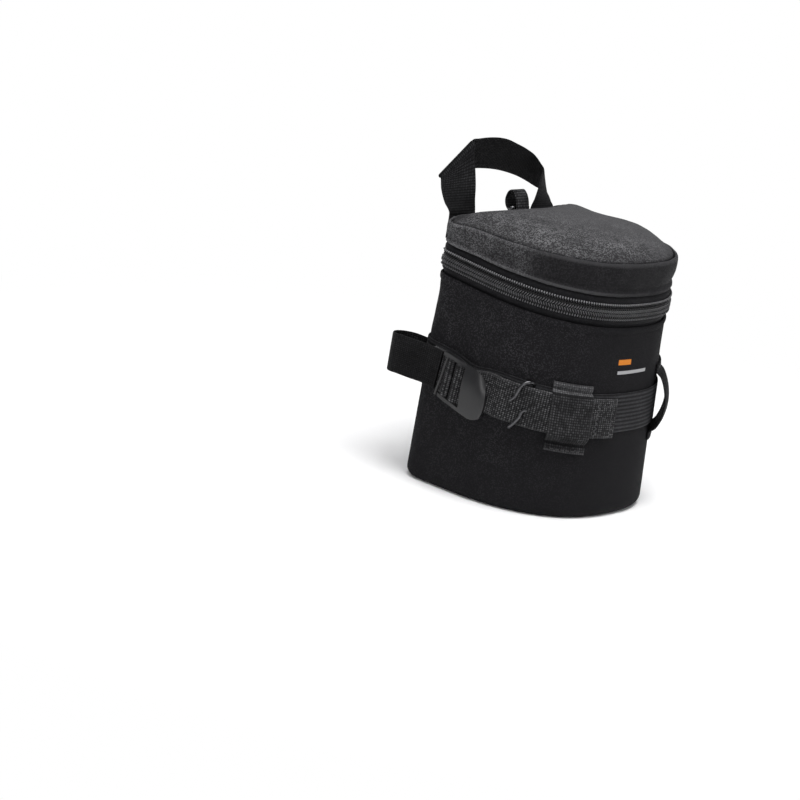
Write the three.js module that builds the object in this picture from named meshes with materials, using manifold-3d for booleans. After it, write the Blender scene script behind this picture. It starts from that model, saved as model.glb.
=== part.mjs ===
// Lens pouch: a padded case, D-shaped in plan, with a zipped lid, a webbing handle,
// a belt loop and a side strap held by a ladder lock. Millimetres, +Z up.
// The flat back faces +Y, the rounded front faces -Y, the origin is the middle of the base.
import * as THREE from "three";
import { mergeVertices } from "three/addons/utils/BufferGeometryUtils.js";
import Module from "manifold-3d";

const wasm = await Module();
wasm.setup();

// Plan of the pouch at its mouth
const body_width = 110.5;
const body_depth = 90;
const corner_radius = 11;
const side_straight = 16.5;
const front_squareness = 2.46;
const base_flare_share = 0.05;

// Heights at the middle of the depth, and how the mouth and the lid slope down to the front
const hem_height = 102;
const hem_to_zip = 7.5;
const zip_to_lid_hem = 9.1;
const lid_wall_rise = 12.4;
const zip_height = hem_height + hem_to_zip;
const lid_hem_height = zip_height + zip_to_lid_hem;
const lid_top_height = lid_hem_height + lid_wall_rise;
const lid_crown = 5;
const base_edge_radius = 5;
const mouth_slope_share = 0.104;
const lid_slope_share = 0.048;
const plan_step = 7.5;

// Plies of the padded wall, from the outside in
const shell_ply = 1;
const foam_ply = 4;
const lining_ply = 0.6;
const stiffener_ply = 1;
const binding_ply = 0.5;
const binding_drop = 8;
const ply_gap = 0.15;
const seam_gap = 0.3;
const hem_lip = 0.6;
const lid_hem_lip = 0.9;
const hem_lip_height = 3.5;

// Zip
const tape_ply = 0.5;
const tape_stand = 0.45;
const tape_tuck = 5.5;
const bead_height = 2.1;
const bead_ply = 1.6;
const bead_bevel = 0.5;
const zip_gap = 1.2;

// Webbing
const webbing_width = 20;
const webbing_ply = 1;
const band_ply = 0.8;
const band_gap = 0.3;
const band_height = 58.8;
const strap_height = 57;
const strap_slope_share = 0.1;
const strap_step = 4.5;

// Places along the wall, measured round it from the middle of the front
const anchor_bar_run = 99;
const mid_bar_run = 93.6;
const lever_back_run = 87;
const lever_tip_run = 74.5;
const keeper_run = 60;
const gear_tab_run = 36;
const load_end_run = 31;
const tail_end_run = 11.6;
const slider_to_corner = 5.5;

// Gear tabs: one lies over the strap, the other bulges clear of the wall
const tab_top = 72.5;
const tab_bottom = 38;
const tab_hem = 3.5;
const tab_gap = 0.25;
const loop_top = 79;
const loop_bottom = 40;
const loop_bulge = 6.5;

// Belt loop behind the back
const loop_depth = 18.5;
const loop_radius = 8.6;
const loop_sewn_length = 24;
const loop_droop = 2;
const loop_bend_radius = 2.5;

// Ladder lock
const lock_width = 27;
const lock_rail_width = 3;
const lock_bar_radius = 1.2;
const lock_bar_stand = 4;
const lock_rail_low = 2.9;
const lock_rail_high = 5.9;
const lock_back_overhang = 3.3;
const lever_low = 4.5;
const lever_high = 7.1;
const lever_corner = 4;
const bar_clearance = 0.3;

// Wire keeper round the strap
const keeper_wire_radius = 0.6;
const keeper_clearance = 0.4;
const keeper_lean = 6;

// Handle, ring and its tab, sewn into the back seam of the lid
const handle_side_gap = 19.75;
const handle_left_reach = body_width / 2 - handle_side_gap;
const handle_span = 63;
const handle_rise = 34;
const handle_lean = 12;
const handle_sewn_length = 12;
const handle_hinge_gap = 0.6;
const handle_fold_radius = 0.5;
const handle_stand = 0.2;
const ring_to_handle = 16.7;
const ring_place = handle_span - handle_left_reach - ring_to_handle;
const ring_tab_width = 10;
const ring_tab_rise = 11.5;
const ring_tab_depth = 6.5;
const ring_wire_radius = 1;
const ring_length = 15;
const ring_side_gap = 0.5;
const ring_bar_rise = 0.7;
const ring_bar_reach = 1.4;
const ring_rest_angle = 6;

// Slider and its pull
const slider_length = 9;
const slider_plate = 1;
const slider_clearance = 0.3;
const slider_post_length = 3;
const slider_post_ply = 0.5;
const slider_flange = 0.9;
const bridge_bar_radius = 0.6;
const bridge_span = 6.4;
const bridge_foot = 1;
const pull_cord_radius = 0.7;
const pull_cord_gap = 0.25;
const pull_cord_drop = 9.5;
const pull_grip_length = 18;
const pull_grip_width = 6;
const pull_grip_depth = 4.6;

// Insets of each ply from the outer face of the wall
const foam_out = shell_ply + ply_gap;
const foam_in = foam_out + foam_ply;
const lining_out = foam_in + ply_gap;
const lining_in = lining_out + lining_ply;
const binding_out = lining_in + ply_gap;
const binding_in = binding_out + binding_ply;
const tape_out = -tape_stand;
const tape_in = tape_out + tape_ply;
const bead_in = tape_out - ply_gap;
const bead_out = bead_in - bead_ply;
const back_y = body_depth / 2;
const front_start_y = back_y - corner_radius - side_straight;

// The plan outline, as dense points with normals and their run from the middle of the front
function planOutline() {
  const half = body_width / 2;
  const front_depth = front_start_y + back_y;
  const points = [];
  const corner_steps = 24;
  const front_steps = 240;
  const front_places = [...Array(front_steps + 1).keys()];
  const corner_places = [...Array(corner_steps + 1).keys()];
  for (const i of corner_places) {
    const turn = Math.PI / 2 + (i / corner_steps) * (Math.PI / 2);
    const nx = Math.cos(turn);
    const ny = Math.sin(turn);
    points.push({
      x: -half + corner_radius + corner_radius * nx,
      y: back_y - corner_radius + corner_radius * ny,
      nx,
      ny,
    });
  }
  for (const i of front_places) {
    const angle = Math.PI * (1 - i / front_steps);
    const c = Math.cos(angle);
    const s = Math.sin(angle);
    const ux = Math.sign(c) * Math.abs(c) ** (2 / front_squareness);
    const uy = Math.abs(s) ** (2 / front_squareness);
    const gx = (Math.sign(ux) * Math.abs(ux) ** (front_squareness - 1)) / half;
    const gy = -(uy ** (front_squareness - 1)) / front_depth;
    const size = Math.hypot(gx, gy);
    points.push({ x: half * ux, y: front_start_y - front_depth * uy, nx: gx / size, ny: gy / size });
  }
  for (const i of corner_places) {
    const turn = (i / corner_steps) * (Math.PI / 2);
    const nx = Math.cos(turn);
    const ny = Math.sin(turn);
    points.push({
      x: half - corner_radius + corner_radius * nx,
      y: back_y - corner_radius + corner_radius * ny,
      nx,
      ny,
    });
  }
  points.push({ ...points[0], x: points[0].x });
  let run = 0;
  points.forEach((p, i) => {
    const last = points[Math.max(i - 1, 0)];
    run += Math.hypot(p.x - last.x, p.y - last.y);
    p.run = run;
  });
  const front = points[corner_places.length + front_steps / 2].run;
  points.forEach((p) => {
    p.run -= front;
  });
  return points;
}

const outline = planOutline();
const perimeter = outline[outline.length - 1].run - outline[0].run;
const wrap_end = -outline[0].run;

// The plan point at a run round the wall; past the back corners it goes on along the back
function planAt(run) {
  let at = run;
  while (at < outline[0].run) {
    at += perimeter;
  }
  while (at > outline[0].run + perimeter) {
    at -= perimeter;
  }
  let low = 0;
  let high = outline.length - 1;
  while (high - low > 1) {
    const middle = (low + high) >> 1;
    if (outline[middle].run <= at) {
      low = middle;
    } else {
      high = middle;
    }
  }
  const a = outline[low];
  const b = outline[high];
  const f = (at - a.run) / Math.max(b.run - a.run, Number.EPSILON);
  const nx = a.nx + (b.nx - a.nx) * f;
  const ny = a.ny + (b.ny - a.ny) * f;
  const size = Math.hypot(nx, ny);
  return { x: a.x + (b.x - a.x) * f, y: a.y + (b.y - a.y) * f, nx: nx / size, ny: ny / size };
}

// Slope of the plies at a level: none at the base, the mouth's at the zip, the lid's at the top
function slopeAt(level) {
  if (level <= hem_height) {
    return (mouth_slope_share * Math.max(level, 0)) / hem_height;
  }
  if (level <= lid_hem_height) {
    return mouth_slope_share;
  }
  const f = Math.min((level - lid_hem_height) / (lid_top_height - lid_hem_height), 1);
  return mouth_slope_share + (lid_slope_share - mouth_slope_share) * f;
}

// The wall flares a little towards the base
function flareAt(level) {
  return 1 + base_flare_share * Math.min(Math.max(1 - level / hem_height, 0), 1);
}

// A point of the wall at a run, a level and an inset from the outer face
function wallPoint(run, level, inset) {
  const p = planAt(run);
  const flare = flareAt(level);
  const x = p.x * flare - p.nx * inset;
  const y = back_y + (p.y - back_y) * flare - p.ny * inset;
  return new THREE.Vector3(x, y, level + slopeAt(level) * y);
}

// The same at a true height z, standing off the outer face, with the outward and forward directions
function skin(run, z, stand) {
  let level = z;
  for (let i = 0; i < 4; i += 1) {
    level = z - slopeAt(level) * wallPoint(run, level, -stand).y;
  }
  const p = planAt(run);
  const point = wallPoint(run, level, -stand);
  return {
    point,
    out: new THREE.Vector3(p.nx, p.ny, 0),
    along: new THREE.Vector3(-p.ny, p.nx, 0),
  };
}

// Runs from one end to the other, closer where the wall turns at the back corners
function runsBetween(from, to, step) {
  const corner_start = wrap_end - (corner_radius * Math.PI) / 2;
  const marks = [from, to];
  const turns = [-wrap_end, -corner_start, 0, corner_start, wrap_end];
  for (const turn of turns) {
    if (turn > from && turn < to) {
      marks.push(turn);
    }
  }
  marks.sort((a, b) => a - b);
  const runs = [marks[0]];
  for (let i = 1; i < marks.length; i += 1) {
    const a = marks[i - 1];
    const b = marks[i];
    const middle = Math.abs((a + b) / 2);
    const in_corner = middle > corner_start && middle < wrap_end;
    const size = in_corner ? corner_radius / 2.2 : step;
    const count = Math.max(Math.ceil((b - a) / size - 0.01), 1);
    for (let k = 1; k <= count; k += 1) {
      runs.push(a + ((b - a) * k) / count);
    }
  }
  return runs;
}

function closedRuns(step) {
  const runs = runsBetween(-wrap_end, wrap_end, step);
  const back = perimeter - 2 * wrap_end;
  const count = Math.ceil(back / (step * 3));
  for (let k = 1; k < count; k += 1) {
    runs.push(wrap_end + (back * k) / count);
  }
  return runs;
}

// A closed body from its corner points and triangles, turned so that its faces point out
function closedBody(points, triangles) {
  const position = new Float32Array(points.length * 3);
  points.forEach((p, i) => {
    position.set([p.x, p.y, p.z], i * 3);
  });
  let volume = 0;
  const cross = new THREE.Vector3();
  for (const [a, b, c] of triangles) {
    volume += points[a].dot(cross.crossVectors(points[b], points[c]));
  }
  const faces = volume < 0 ? triangles.map(([a, b, c]) => [a, c, b]) : triangles;
  const geometry = new THREE.BufferGeometry();
  geometry.setAttribute("position", new THREE.BufferAttribute(position, 3));
  geometry.setIndex(faces.flat());
  geometry.computeVertexNormals();
  return geometry;
}

// A closed profile of [inset, level] pairs carried round the wall
function sweep(profile, runs, closed) {
  const rings = runs.map((run) => profile.map(([inset, level]) => wallPoint(run, level, inset)));
  return loft(rings, closed);
}

// Rings of equal length joined in turn, with flat ends unless the last meets the first
function loft(rings, closed) {
  const size = rings[0].length;
  const points = rings.flat();
  const triangles = [];
  const spans = closed ? rings.length : rings.length - 1;
  for (let i = 0; i < spans; i += 1) {
    const next = (i + 1) % rings.length;
    for (let j = 0; j < size; j += 1) {
      const k = (j + 1) % size;
      triangles.push([i * size + j, i * size + k, next * size + k]);
      triangles.push([i * size + j, next * size + k, next * size + j]);
    }
  }
  if (!closed) {
    for (const end of [0, rings.length - 1]) {
      const cap = capOf(rings[end]);
      for (const [a, b, c] of cap) {
        const flip = end === 0;
        triangles.push(flip ? [c, b, a].map((v) => v + end * size) : [a, b, c].map((v) => v + end * size));
      }
    }
  }
  return closedBody(points, triangles);
}

// Triangles of a flat polygon, wound the way the ring runs
function capOf(ring) {
  const normal = new THREE.Vector3();
  ring.forEach((p, i) => {
    normal.add(new THREE.Vector3().crossVectors(p, ring[(i + 1) % ring.length]));
  });
  normal.normalize();
  const side = Math.abs(normal.z) > 0.7 ? new THREE.Vector3(1, 0, 0) : new THREE.Vector3(0, 0, 1);
  const u = new THREE.Vector3().crossVectors(side, normal).normalize();
  const v = new THREE.Vector3().crossVectors(normal, u);
  const flat = ring.map((p) => new THREE.Vector2(p.dot(u), p.dot(v)));
  return THREE.ShapeUtils.triangulateShape(flat, []);
}

// A strip of cloth: rows of points on its inner face, each with the way to its outer face
function clothStrip(rows, ply) {
  const width = rows[0].length;
  const inner = rows.map((row) => row.map((at) => at.point.clone()));
  const outer = rows.map((row) => row.map((at) => at.point.clone().addScaledVector(at.out, ply)));
  const rings = rows.map((row, i) => [...inner[i], ...outer[i].reverse()]);
  const points = rings.flat();
  const size = width * 2;
  const triangles = [];
  for (let i = 0; i + 1 < rings.length; i += 1) {
    for (let j = 0; j < size; j += 1) {
      const k = (j + 1) % size;
      triangles.push([i * size + j, i * size + k, (i + 1) * size + k]);
      triangles.push([i * size + j, (i + 1) * size + k, (i + 1) * size + j]);
    }
  }
  for (let j = 0; j + 1 < width; j += 1) {
    const last = (rings.length - 1) * size;
    const far = size - 1 - j;
    triangles.push([j + 1, j, far]);
    triangles.push([j + 1, far, far - 1]);
    triangles.push([last + j, last + j + 1, last + far]);
    triangles.push([last + j + 1, last + far - 1, last + far]);
  }
  return closedBody(points, triangles);
}

// A disc of the plan's shape between two faces, crowned towards its middle
function disc(inset, low, high, crown, ring_shares) {
  const runs = closedRuns(plan_step);
  const points = [];
  const triangles = [];
  const count = runs.length;
  const faces = [high, low];
  for (const level of faces) {
    const start = points.length;
    const middle = wallPoint(0, level, inset).add(wallPoint(perimeter / 2, level, inset)).multiplyScalar(0.5);
    for (const share of ring_shares) {
      for (const run of runs) {
        const p = wallPoint(run, level, inset).lerp(middle, 1 - share);
        p.z += crown * (1 - share ** 2.6);
        points.push(p);
      }
    }
    middle.z += crown;
    points.push(middle);
    const top = level === high;
    const face = (a, b, c) => triangles.push(top ? [a, b, c] : [c, b, a]);
    for (let i = 0; i < count; i += 1) {
      const k = (i + 1) % count;
      for (let r = 0; r + 1 < ring_shares.length; r += 1) {
        const a = start + r * count;
        face(a + i, a + k, a + count + k);
        face(a + i, a + count + k, a + count + i);
      }
      const last = start + (ring_shares.length - 1) * count;
      face(last + i, last + k, start + ring_shares.length * count);
    }
  }
  const under = points.length / 2;
  for (let i = 0; i < count; i += 1) {
    const k = (i + 1) % count;
    triangles.push([i, under + i, under + k]);
    triangles.push([i, under + k, k]);
  }
  return closedBody(points, triangles);
}

// Closed three.js shapes as solids for joining and cutting, and back
function toSolid(geometry) {
  const bare = geometry.clone();
  bare.deleteAttribute("normal");
  bare.deleteAttribute("uv");
  const merged = mergeVertices(bare);
  const vertProperties = new Float32Array(merged.attributes.position.array);
  const triVerts = new Uint32Array(merged.index.array);
  return new wasm.Manifold(new wasm.Mesh({ numProp: 3, vertProperties, triVerts }));
}

function fromSolid(solid) {
  const mesh = solid.getMesh();
  const geometry = new THREE.BufferGeometry();
  geometry.setAttribute("position", new THREE.BufferAttribute(new Float32Array(mesh.vertProperties), 3));
  geometry.setIndex([...mesh.triVerts]);
  geometry.computeVertexNormals();
  return geometry;
}

function mergedShape(geometry) {
  return fromSolid(toSolid(geometry));
}

function joined(geometries) {
  return geometries.map(toSolid).reduce((whole, next) => whole.add(next));
}

function box(width, depth, height, x, y, z) {
  return new THREE.BoxGeometry(width, depth, height).translate(x, y, z);
}

// A flat outline given its thickness along +Z, from low to high
function plate(shape, low, high, curve_steps) {
  const geometry = new THREE.ExtrudeGeometry(shape, {
    depth: high - low,
    bevelEnabled: false,
    curveSegments: curve_steps,
  });
  return geometry.translate(0, 0, low);
}

function roundedOutline(x0, y0, x1, y1, near_radius, far_radius) {
  const shape = new THREE.Shape();
  shape.moveTo(x0 + near_radius, y0);
  shape.lineTo(x1 - far_radius, y0);
  shape.absarc(x1 - far_radius, y0 + far_radius, far_radius, -Math.PI / 2, 0, false);
  shape.lineTo(x1, y1 - far_radius);
  shape.absarc(x1 - far_radius, y1 - far_radius, far_radius, 0, Math.PI / 2, false);
  shape.lineTo(x0 + near_radius, y1);
  shape.absarc(x0 + near_radius, y1 - near_radius, near_radius, Math.PI / 2, Math.PI, false);
  shape.lineTo(x0, y0 + near_radius);
  shape.absarc(x0 + near_radius, y0 + near_radius, near_radius, Math.PI, Math.PI * 1.5, false);
  return shape;
}

// A round wire along points, with flat ends
function wire(points, radius, steps, sides) {
  const curve = new THREE.CatmullRomCurve3(points, false, "centripetal");
  const section = new THREE.Shape();
  section.absarc(0, 0, radius, 0, Math.PI * 2, false);
  return new THREE.ExtrudeGeometry(section, {
    steps,
    curveSegments: sides / 2,
    bevelEnabled: false,
    extrudePath: curve,
  });
}

const black_cloth = { color: 0x232225, roughness: 0.9, metalness: 0 };
const black_webbing = { color: 0x28282b, roughness: 0.8, metalness: 0 };
const black_lining = { color: 0x1c1c1f, roughness: 0.85, metalness: 0 };
const grey_foam = { color: 0x4c4c50, roughness: 0.95, metalness: 0 };
const black_plastic = { color: 0x2e2e31, roughness: 0.35, metalness: 0 };
const dark_board = { color: 0x303033, roughness: 0.6, metalness: 0 };
const zip_plastic = { color: 0x2a2a2d, roughness: 0.4, metalness: 0 };
const dark_metal = { color: 0x6c6c70, roughness: 0.35, metalness: 1 };
const black_rubber = { color: 0x1d1d1f, roughness: 0.7, metalness: 0 };

const pouch = new THREE.Group();
const lid = new THREE.Group();
pouch.add(lid);

function piece(name, geometry, finish, parent) {
  const mesh = new THREE.Mesh(geometry, new THREE.MeshStandardMaterial(finish));
  mesh.name = name;
  parent.add(mesh);
  return mesh;
}

// Padded wall of the body
const wrap_runs = runsBetween(-wrap_end, wrap_end, plan_step);
const back_start = wrap_end + seam_gap;
const back_runs = [back_start, perimeter / 2, perimeter - back_start];
const ring_runs = closedRuns(plan_step);

function shellProfile(high, lip, ply) {
  const inner_radius = base_edge_radius - ply;
  const turns = [Math.PI / 2, Math.PI / 4, 0];
  const outer = turns.map((turn) => [
    base_edge_radius - base_edge_radius * Math.cos(turn),
    base_edge_radius - base_edge_radius * Math.sin(turn),
  ]);
  const inner = turns
    .map((turn) => [
      base_edge_radius - inner_radius * Math.cos(turn),
      base_edge_radius - inner_radius * Math.sin(turn),
    ])
    .reverse();
  return [
    ...outer,
    [0, high - hem_lip_height],
    [-lip, high - hem_lip_height / 2],
    [-lip, high],
    [ply, high],
    ...inner,
  ];
}

function flatProfile(out, into, low, high) {
  return [
    [out, low],
    [out, high],
    [into, high],
    [into, low],
  ];
}

piece("body_shell", sweep(shellProfile(hem_height, hem_lip, shell_ply), wrap_runs, false), black_cloth, pouch);
piece("back_panel", sweep(shellProfile(hem_height, hem_lip, shell_ply), back_runs, false), black_cloth, pouch);
piece("base_panel", disc(base_edge_radius + seam_gap, 0, shell_ply, 0, [1]), black_cloth, pouch);

const floor_foam_low = shell_ply + ply_gap;
const floor_foam_high = floor_foam_low + foam_ply;
const floor_lining_low = floor_foam_high + ply_gap;
const floor_lining_high = floor_lining_low + lining_ply;
const wall_low = base_edge_radius + seam_gap;
const foam_high = hem_height - binding_ply - ply_gap;
const foam_step_inset = foam_out + tape_ply + ply_gap;
const foam_step_low = hem_height - tape_tuck - ply_gap;
const wall_foam_profile = [
  [foam_out, wall_low],
  [foam_out, foam_step_low],
  [foam_step_inset, foam_step_low],
  [foam_step_inset, foam_high],
  [foam_in, foam_high],
  [foam_in, wall_low],
];
const stiffener_in = foam_out + stiffener_ply;
const back_foam_out = stiffener_in + ply_gap;
piece("wall_foam", sweep(wall_foam_profile, wrap_runs, false), grey_foam, pouch);
const stiffener_profile = flatProfile(foam_out, stiffener_in, wall_low, foam_step_low);
piece("back_stiffener", sweep(stiffener_profile, back_runs, false), dark_board, pouch);
const back_foam_profile = flatProfile(back_foam_out, foam_in, wall_low, foam_high);
piece("back_foam", sweep(back_foam_profile, back_runs, false), grey_foam, pouch);
piece("base_foam", disc(foam_in + ply_gap, floor_foam_low, floor_foam_high, 0, [1]), grey_foam, pouch);
const lining_profile = flatProfile(lining_out, lining_in, floor_lining_high + ply_gap, foam_high);
piece("wall_lining", sweep(lining_profile, ring_runs, true), black_lining, pouch);
piece("base_lining", disc(lining_out, floor_lining_low, floor_lining_high, 0, [1]), black_lining, pouch);

// Binding tape over the raw edge of a foam wall: across the edge, then over the lining
function bindingProfile(edge, away) {
  const cover = edge + away * ply_gap;
  const outside = cover + away * binding_ply;
  const hem = edge - away * binding_drop;
  return [
    [foam_step_inset, cover],
    [foam_step_inset, outside],
    [binding_in, outside],
    [binding_in, hem],
    [binding_out, hem],
    [binding_out, cover],
  ];
}
piece("mouth_binding", sweep(bindingProfile(foam_high, 1), ring_runs, true), black_webbing, pouch);

// Zip: each tape is sewn under a hem and carries a row of coil beads on its outer face
const corner_start = wrap_end - (corner_radius * Math.PI) / 2;
const zip_end = (corner_start + wrap_end) / 2;
const zip_runs = runsBetween(-zip_end, zip_end, plan_step);

function tapeProfile(hem, away) {
  const tucked = hem - away * tape_tuck;
  const edge = zip_height - (away * zip_gap) / 2;
  const bend = hem + away * tape_stand;
  const lifted = bend + away * (foam_out + tape_stand);
  return [
    [foam_out, tucked],
    [foam_out, hem],
    [tape_out, lifted],
    [tape_out, edge],
    [tape_in, edge],
    [tape_in, lifted],
    [foam_out + tape_ply, bend],
    [foam_out + tape_ply, tucked],
  ];
}

function beadProfile(away) {
  const edge = zip_height - (away * zip_gap) / 2;
  const far = edge - away * bead_height;
  return [
    [bead_in, far],
    [bead_out + bead_bevel, far],
    [bead_out, far + away * bead_bevel],
    [bead_out, edge - away * bead_bevel],
    [bead_out + bead_bevel, edge],
    [bead_in, edge],
  ];
}
piece("lower_zip_tape", sweep(tapeProfile(hem_height, 1), zip_runs, false), black_webbing, pouch);
piece("lower_zip_coil", sweep(beadProfile(1), zip_runs, false), zip_plastic, pouch);

// Hinge of the lid: a cloth panel across the back, sewn under both hems
const hinge_start = zip_end + seam_gap;
const hinge_runs = [
  hinge_start,
  (hinge_start + wrap_end) / 2,
  wrap_end,
  perimeter / 2,
  perimeter - wrap_end,
  perimeter - (hinge_start + wrap_end) / 2,
  perimeter - hinge_start,
];
const hinge_profile = [
  [foam_out, hem_height - tape_tuck],
  [foam_out, hem_height],
  [0, hem_height + foam_out * 2],
  [0, lid_hem_height - foam_out * 2],
  [foam_out, lid_hem_height],
  [foam_out, lid_hem_height + tape_tuck],
  [foam_out + tape_ply, lid_hem_height + tape_tuck],
  [foam_out + tape_ply, lid_hem_height],
  [tape_ply, lid_hem_height - foam_out * 2],
  [tape_ply, hem_height + foam_out * 2],
  [foam_out + tape_ply, hem_height],
  [foam_out + tape_ply, hem_height - tape_tuck],
];
piece("hinge_panel", sweep(hinge_profile, hinge_runs, false), black_cloth, pouch);

// Lid: an outer band with its hem, a padded wall, a crowned top and linings
const lid_edge = lid_top_height - ply_gap;
const lid_wall_low = lid_hem_height + binding_ply + ply_gap;
const lid_foam_high = lid_top_height - ply_gap * 2;
const lid_foam_low = lid_foam_high - foam_ply;
const lid_wall_high = lid_foam_low - ply_gap;
const lid_lining_high = lid_foam_low - ply_gap;
const lid_lining_low = lid_lining_high - lining_ply;
const crown_shares = [1, 0.9, 0.72, 0.48, 0.24];
const lid_shell_profile = [
  [-lid_hem_lip, lid_hem_height],
  [-lid_hem_lip, lid_hem_height + hem_lip_height / 2],
  [0, lid_hem_height + hem_lip_height],
  [0, lid_edge],
  [shell_ply, lid_edge],
  [shell_ply, lid_hem_height],
];
const lid_wall_profile = [
  [foam_step_inset, lid_wall_low],
  [foam_step_inset, lid_hem_height + tape_tuck + ply_gap],
  [foam_out, lid_hem_height + tape_tuck + ply_gap],
  [foam_out, lid_wall_high],
  [foam_in, lid_wall_high],
  [foam_in, lid_wall_low],
];
piece("lid_side_band", sweep(lid_shell_profile, wrap_runs, false), black_cloth, lid);
piece("lid_back_wall", sweep(lid_shell_profile, back_runs, false), black_cloth, lid);
piece("lid_wall_foam", sweep(lid_wall_profile, ring_runs, true), grey_foam, lid);
const lid_lining_profile = flatProfile(lining_out, lining_in, lid_wall_low, lid_lining_low - ply_gap);
piece("lid_wall_lining", sweep(lid_lining_profile, ring_runs, true), black_lining, lid);
const lid_binding_profile = bindingProfile(lid_wall_low, -1).map(([inset, level]) => [
  inset,
  Math.min(level, lid_lining_low - ply_gap),
]);
piece("lid_binding", sweep(lid_binding_profile, ring_runs, true), black_webbing, lid);
const top_high = lid_top_height + shell_ply;
piece("lid_top_panel", disc(0, lid_top_height, top_high, lid_crown, crown_shares), black_cloth, lid);
piece("lid_top_foam", disc(foam_out, lid_foam_low, lid_foam_high, lid_crown, crown_shares), grey_foam, lid);
const top_lining = disc(lining_out, lid_lining_low, lid_lining_high, lid_crown, crown_shares);
piece("lid_top_lining", top_lining, black_lining, lid);
piece("upper_zip_tape", sweep(tapeProfile(lid_hem_height, -1), zip_runs, false), black_webbing, lid);
piece("upper_zip_coil", sweep(beadProfile(-1), zip_runs, false), zip_plastic, lid);

// Webbing that lies along the wall: its middle line slopes down to the front
const half_webbing = webbing_width / 2;

function strapMiddle(run, middle_height) {
  return middle_height + strap_slope_share * skin(run, middle_height, 0).point.y;
}

// A row square to the webbing's own slope
function wallRow(run, stand, middle_height) {
  const z = strapMiddle(run, middle_height);
  const lean = -half_webbing * strap_slope_share * skin(run, z, stand).along.y;
  return [skin(run - lean, z - half_webbing, stand), skin(run + lean, z + half_webbing, stand)];
}

const band_end = wrap_end - seam_gap;
const band_rows = runsBetween(-band_end, band_end, strap_step).map((run) => wallRow(run, band_gap, band_height));
piece("waist_band", clothStrip(band_rows, band_ply), black_webbing, pouch);

// Layers on the side, outwards from the band: load layer, then the tail that comes back over it
const load_stand = band_gap * 2 + band_ply;
const tail_stand = load_stand + webbing_ply + ply_gap;
const keeper_bore = keeper_wire_radius * 2 + keeper_clearance * 2;
const strap_lift = keeper_bore - band_gap - ply_gap;
const bar_wrap_radius = lock_bar_radius + bar_clearance;

function smooth(x) {
  const f = Math.min(Math.max(x, 0), 1);
  return f * f * (3 - 2 * f);
}

// The wire of the keeper lifts the strap between the buckle and the gear tab
function liftAt(run) {
  const rise = smooth((lever_tip_run + webbing_ply - run) / keeper_lean);
  const fall = smooth((gear_tab_run + half_webbing - run) / webbing_width);
  return strap_lift * (rise - fall);
}

// Frame of the ladder lock: x forward along the strap, y up across it and z outward
const lock_back = skin(-anchor_bar_run, strapMiddle(-anchor_bar_run, strap_height), lock_bar_stand);
const lock_front = skin(-lever_tip_run, strapMiddle(-lever_tip_run, strap_height), lock_bar_stand);
const lock_x = lock_front.point.clone().sub(lock_back.point).normalize();
const [lock_low, lock_high] = wallRow(-anchor_bar_run, lock_bar_stand, strap_height);
const lock_up = lock_high.point.clone().sub(lock_low.point);
const lock_z = new THREE.Vector3().crossVectors(lock_x, lock_up).normalize();
const lock_y = new THREE.Vector3().crossVectors(lock_z, lock_x);
const mid_bar_x = anchor_bar_run - mid_bar_run;
const mid_bar_point = lock_back.point.clone().addScaledVector(lock_x, mid_bar_x);
const mid_skin = skin(-mid_bar_run, strapMiddle(-mid_bar_run, strap_height), 0);
const mid_bar_stand = mid_bar_point.sub(mid_skin.point).dot(mid_skin.out);

// A strip through places given as run, stand and the way to its outer face in that plane
function strapStrip(places) {
  const rows = places.map(({ run, stand, along, out }) => {
    const row = wallRow(-run, stand, strap_height);
    return row.map((at) => ({
      point: at.point,
      out: at.out.clone().multiplyScalar(out).addScaledVector(at.along, -along),
    }));
  });
  return clothStrip(rows, webbing_ply);
}

const fold_turns = [-90, -60, -30, 0, 30, 60, 90].map((degrees) => (degrees * Math.PI) / 180);

// Round a bar; side is 1 where the fold stands on the back side of the bar, -1 on its front side
function foldPlaces(bar_run, bar_stand, side) {
  return fold_turns.map((turn) => ({
    run: bar_run + side * bar_wrap_radius * Math.cos(turn),
    stand: bar_stand + bar_wrap_radius * Math.sin(turn),
    along: side * Math.cos(turn),
    out: Math.sin(turn),
  }));
}

function settled(bar_run, bar_stand, side) {
  const reach_shares = [1.3, 2.7, 4];
  const drop = bar_stand + bar_wrap_radius - tail_stand;
  const drop_shares = [0.2, 0.72, 1];
  return reach_shares.map((share, i) => ({
    run: bar_run - side * share * bar_wrap_radius,
    stand: tail_stand + drop * (1 - drop_shares[i]),
    along: side * -0.5 * Math.sin(Math.PI * drop_shares[i]),
    out: 1,
  }));
}

function stepsBetween(from, to, step) {
  const count = Math.max(Math.round(Math.abs(to - from) / step), 1);
  return [...Array(count + 1).keys()].map((k) => from + ((to - from) * k) / count);
}

const load_places = stepsBetween(load_end_run, mid_bar_run - bar_wrap_radius * 2, strap_step).map((run) => ({
  run,
  stand: load_stand + webbing_ply + liftAt(run),
  along: 0,
  out: -1,
}));
const tail_settled = mid_bar_run - bar_wrap_radius * 5.5;
const tail_places = stepsBetween(tail_settled, tail_end_run, strap_step).map((run) => ({
  run,
  stand: tail_stand + liftAt(run),
  along: 0,
  out: 1,
}));
const adjust_strap = [
  ...load_places,
  ...foldPlaces(mid_bar_run, mid_bar_stand, 1),
  ...settled(mid_bar_run, mid_bar_stand, 1),
  ...tail_places,
];
piece("adjust_strap", strapStrip(adjust_strap), black_webbing, pouch);

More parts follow.
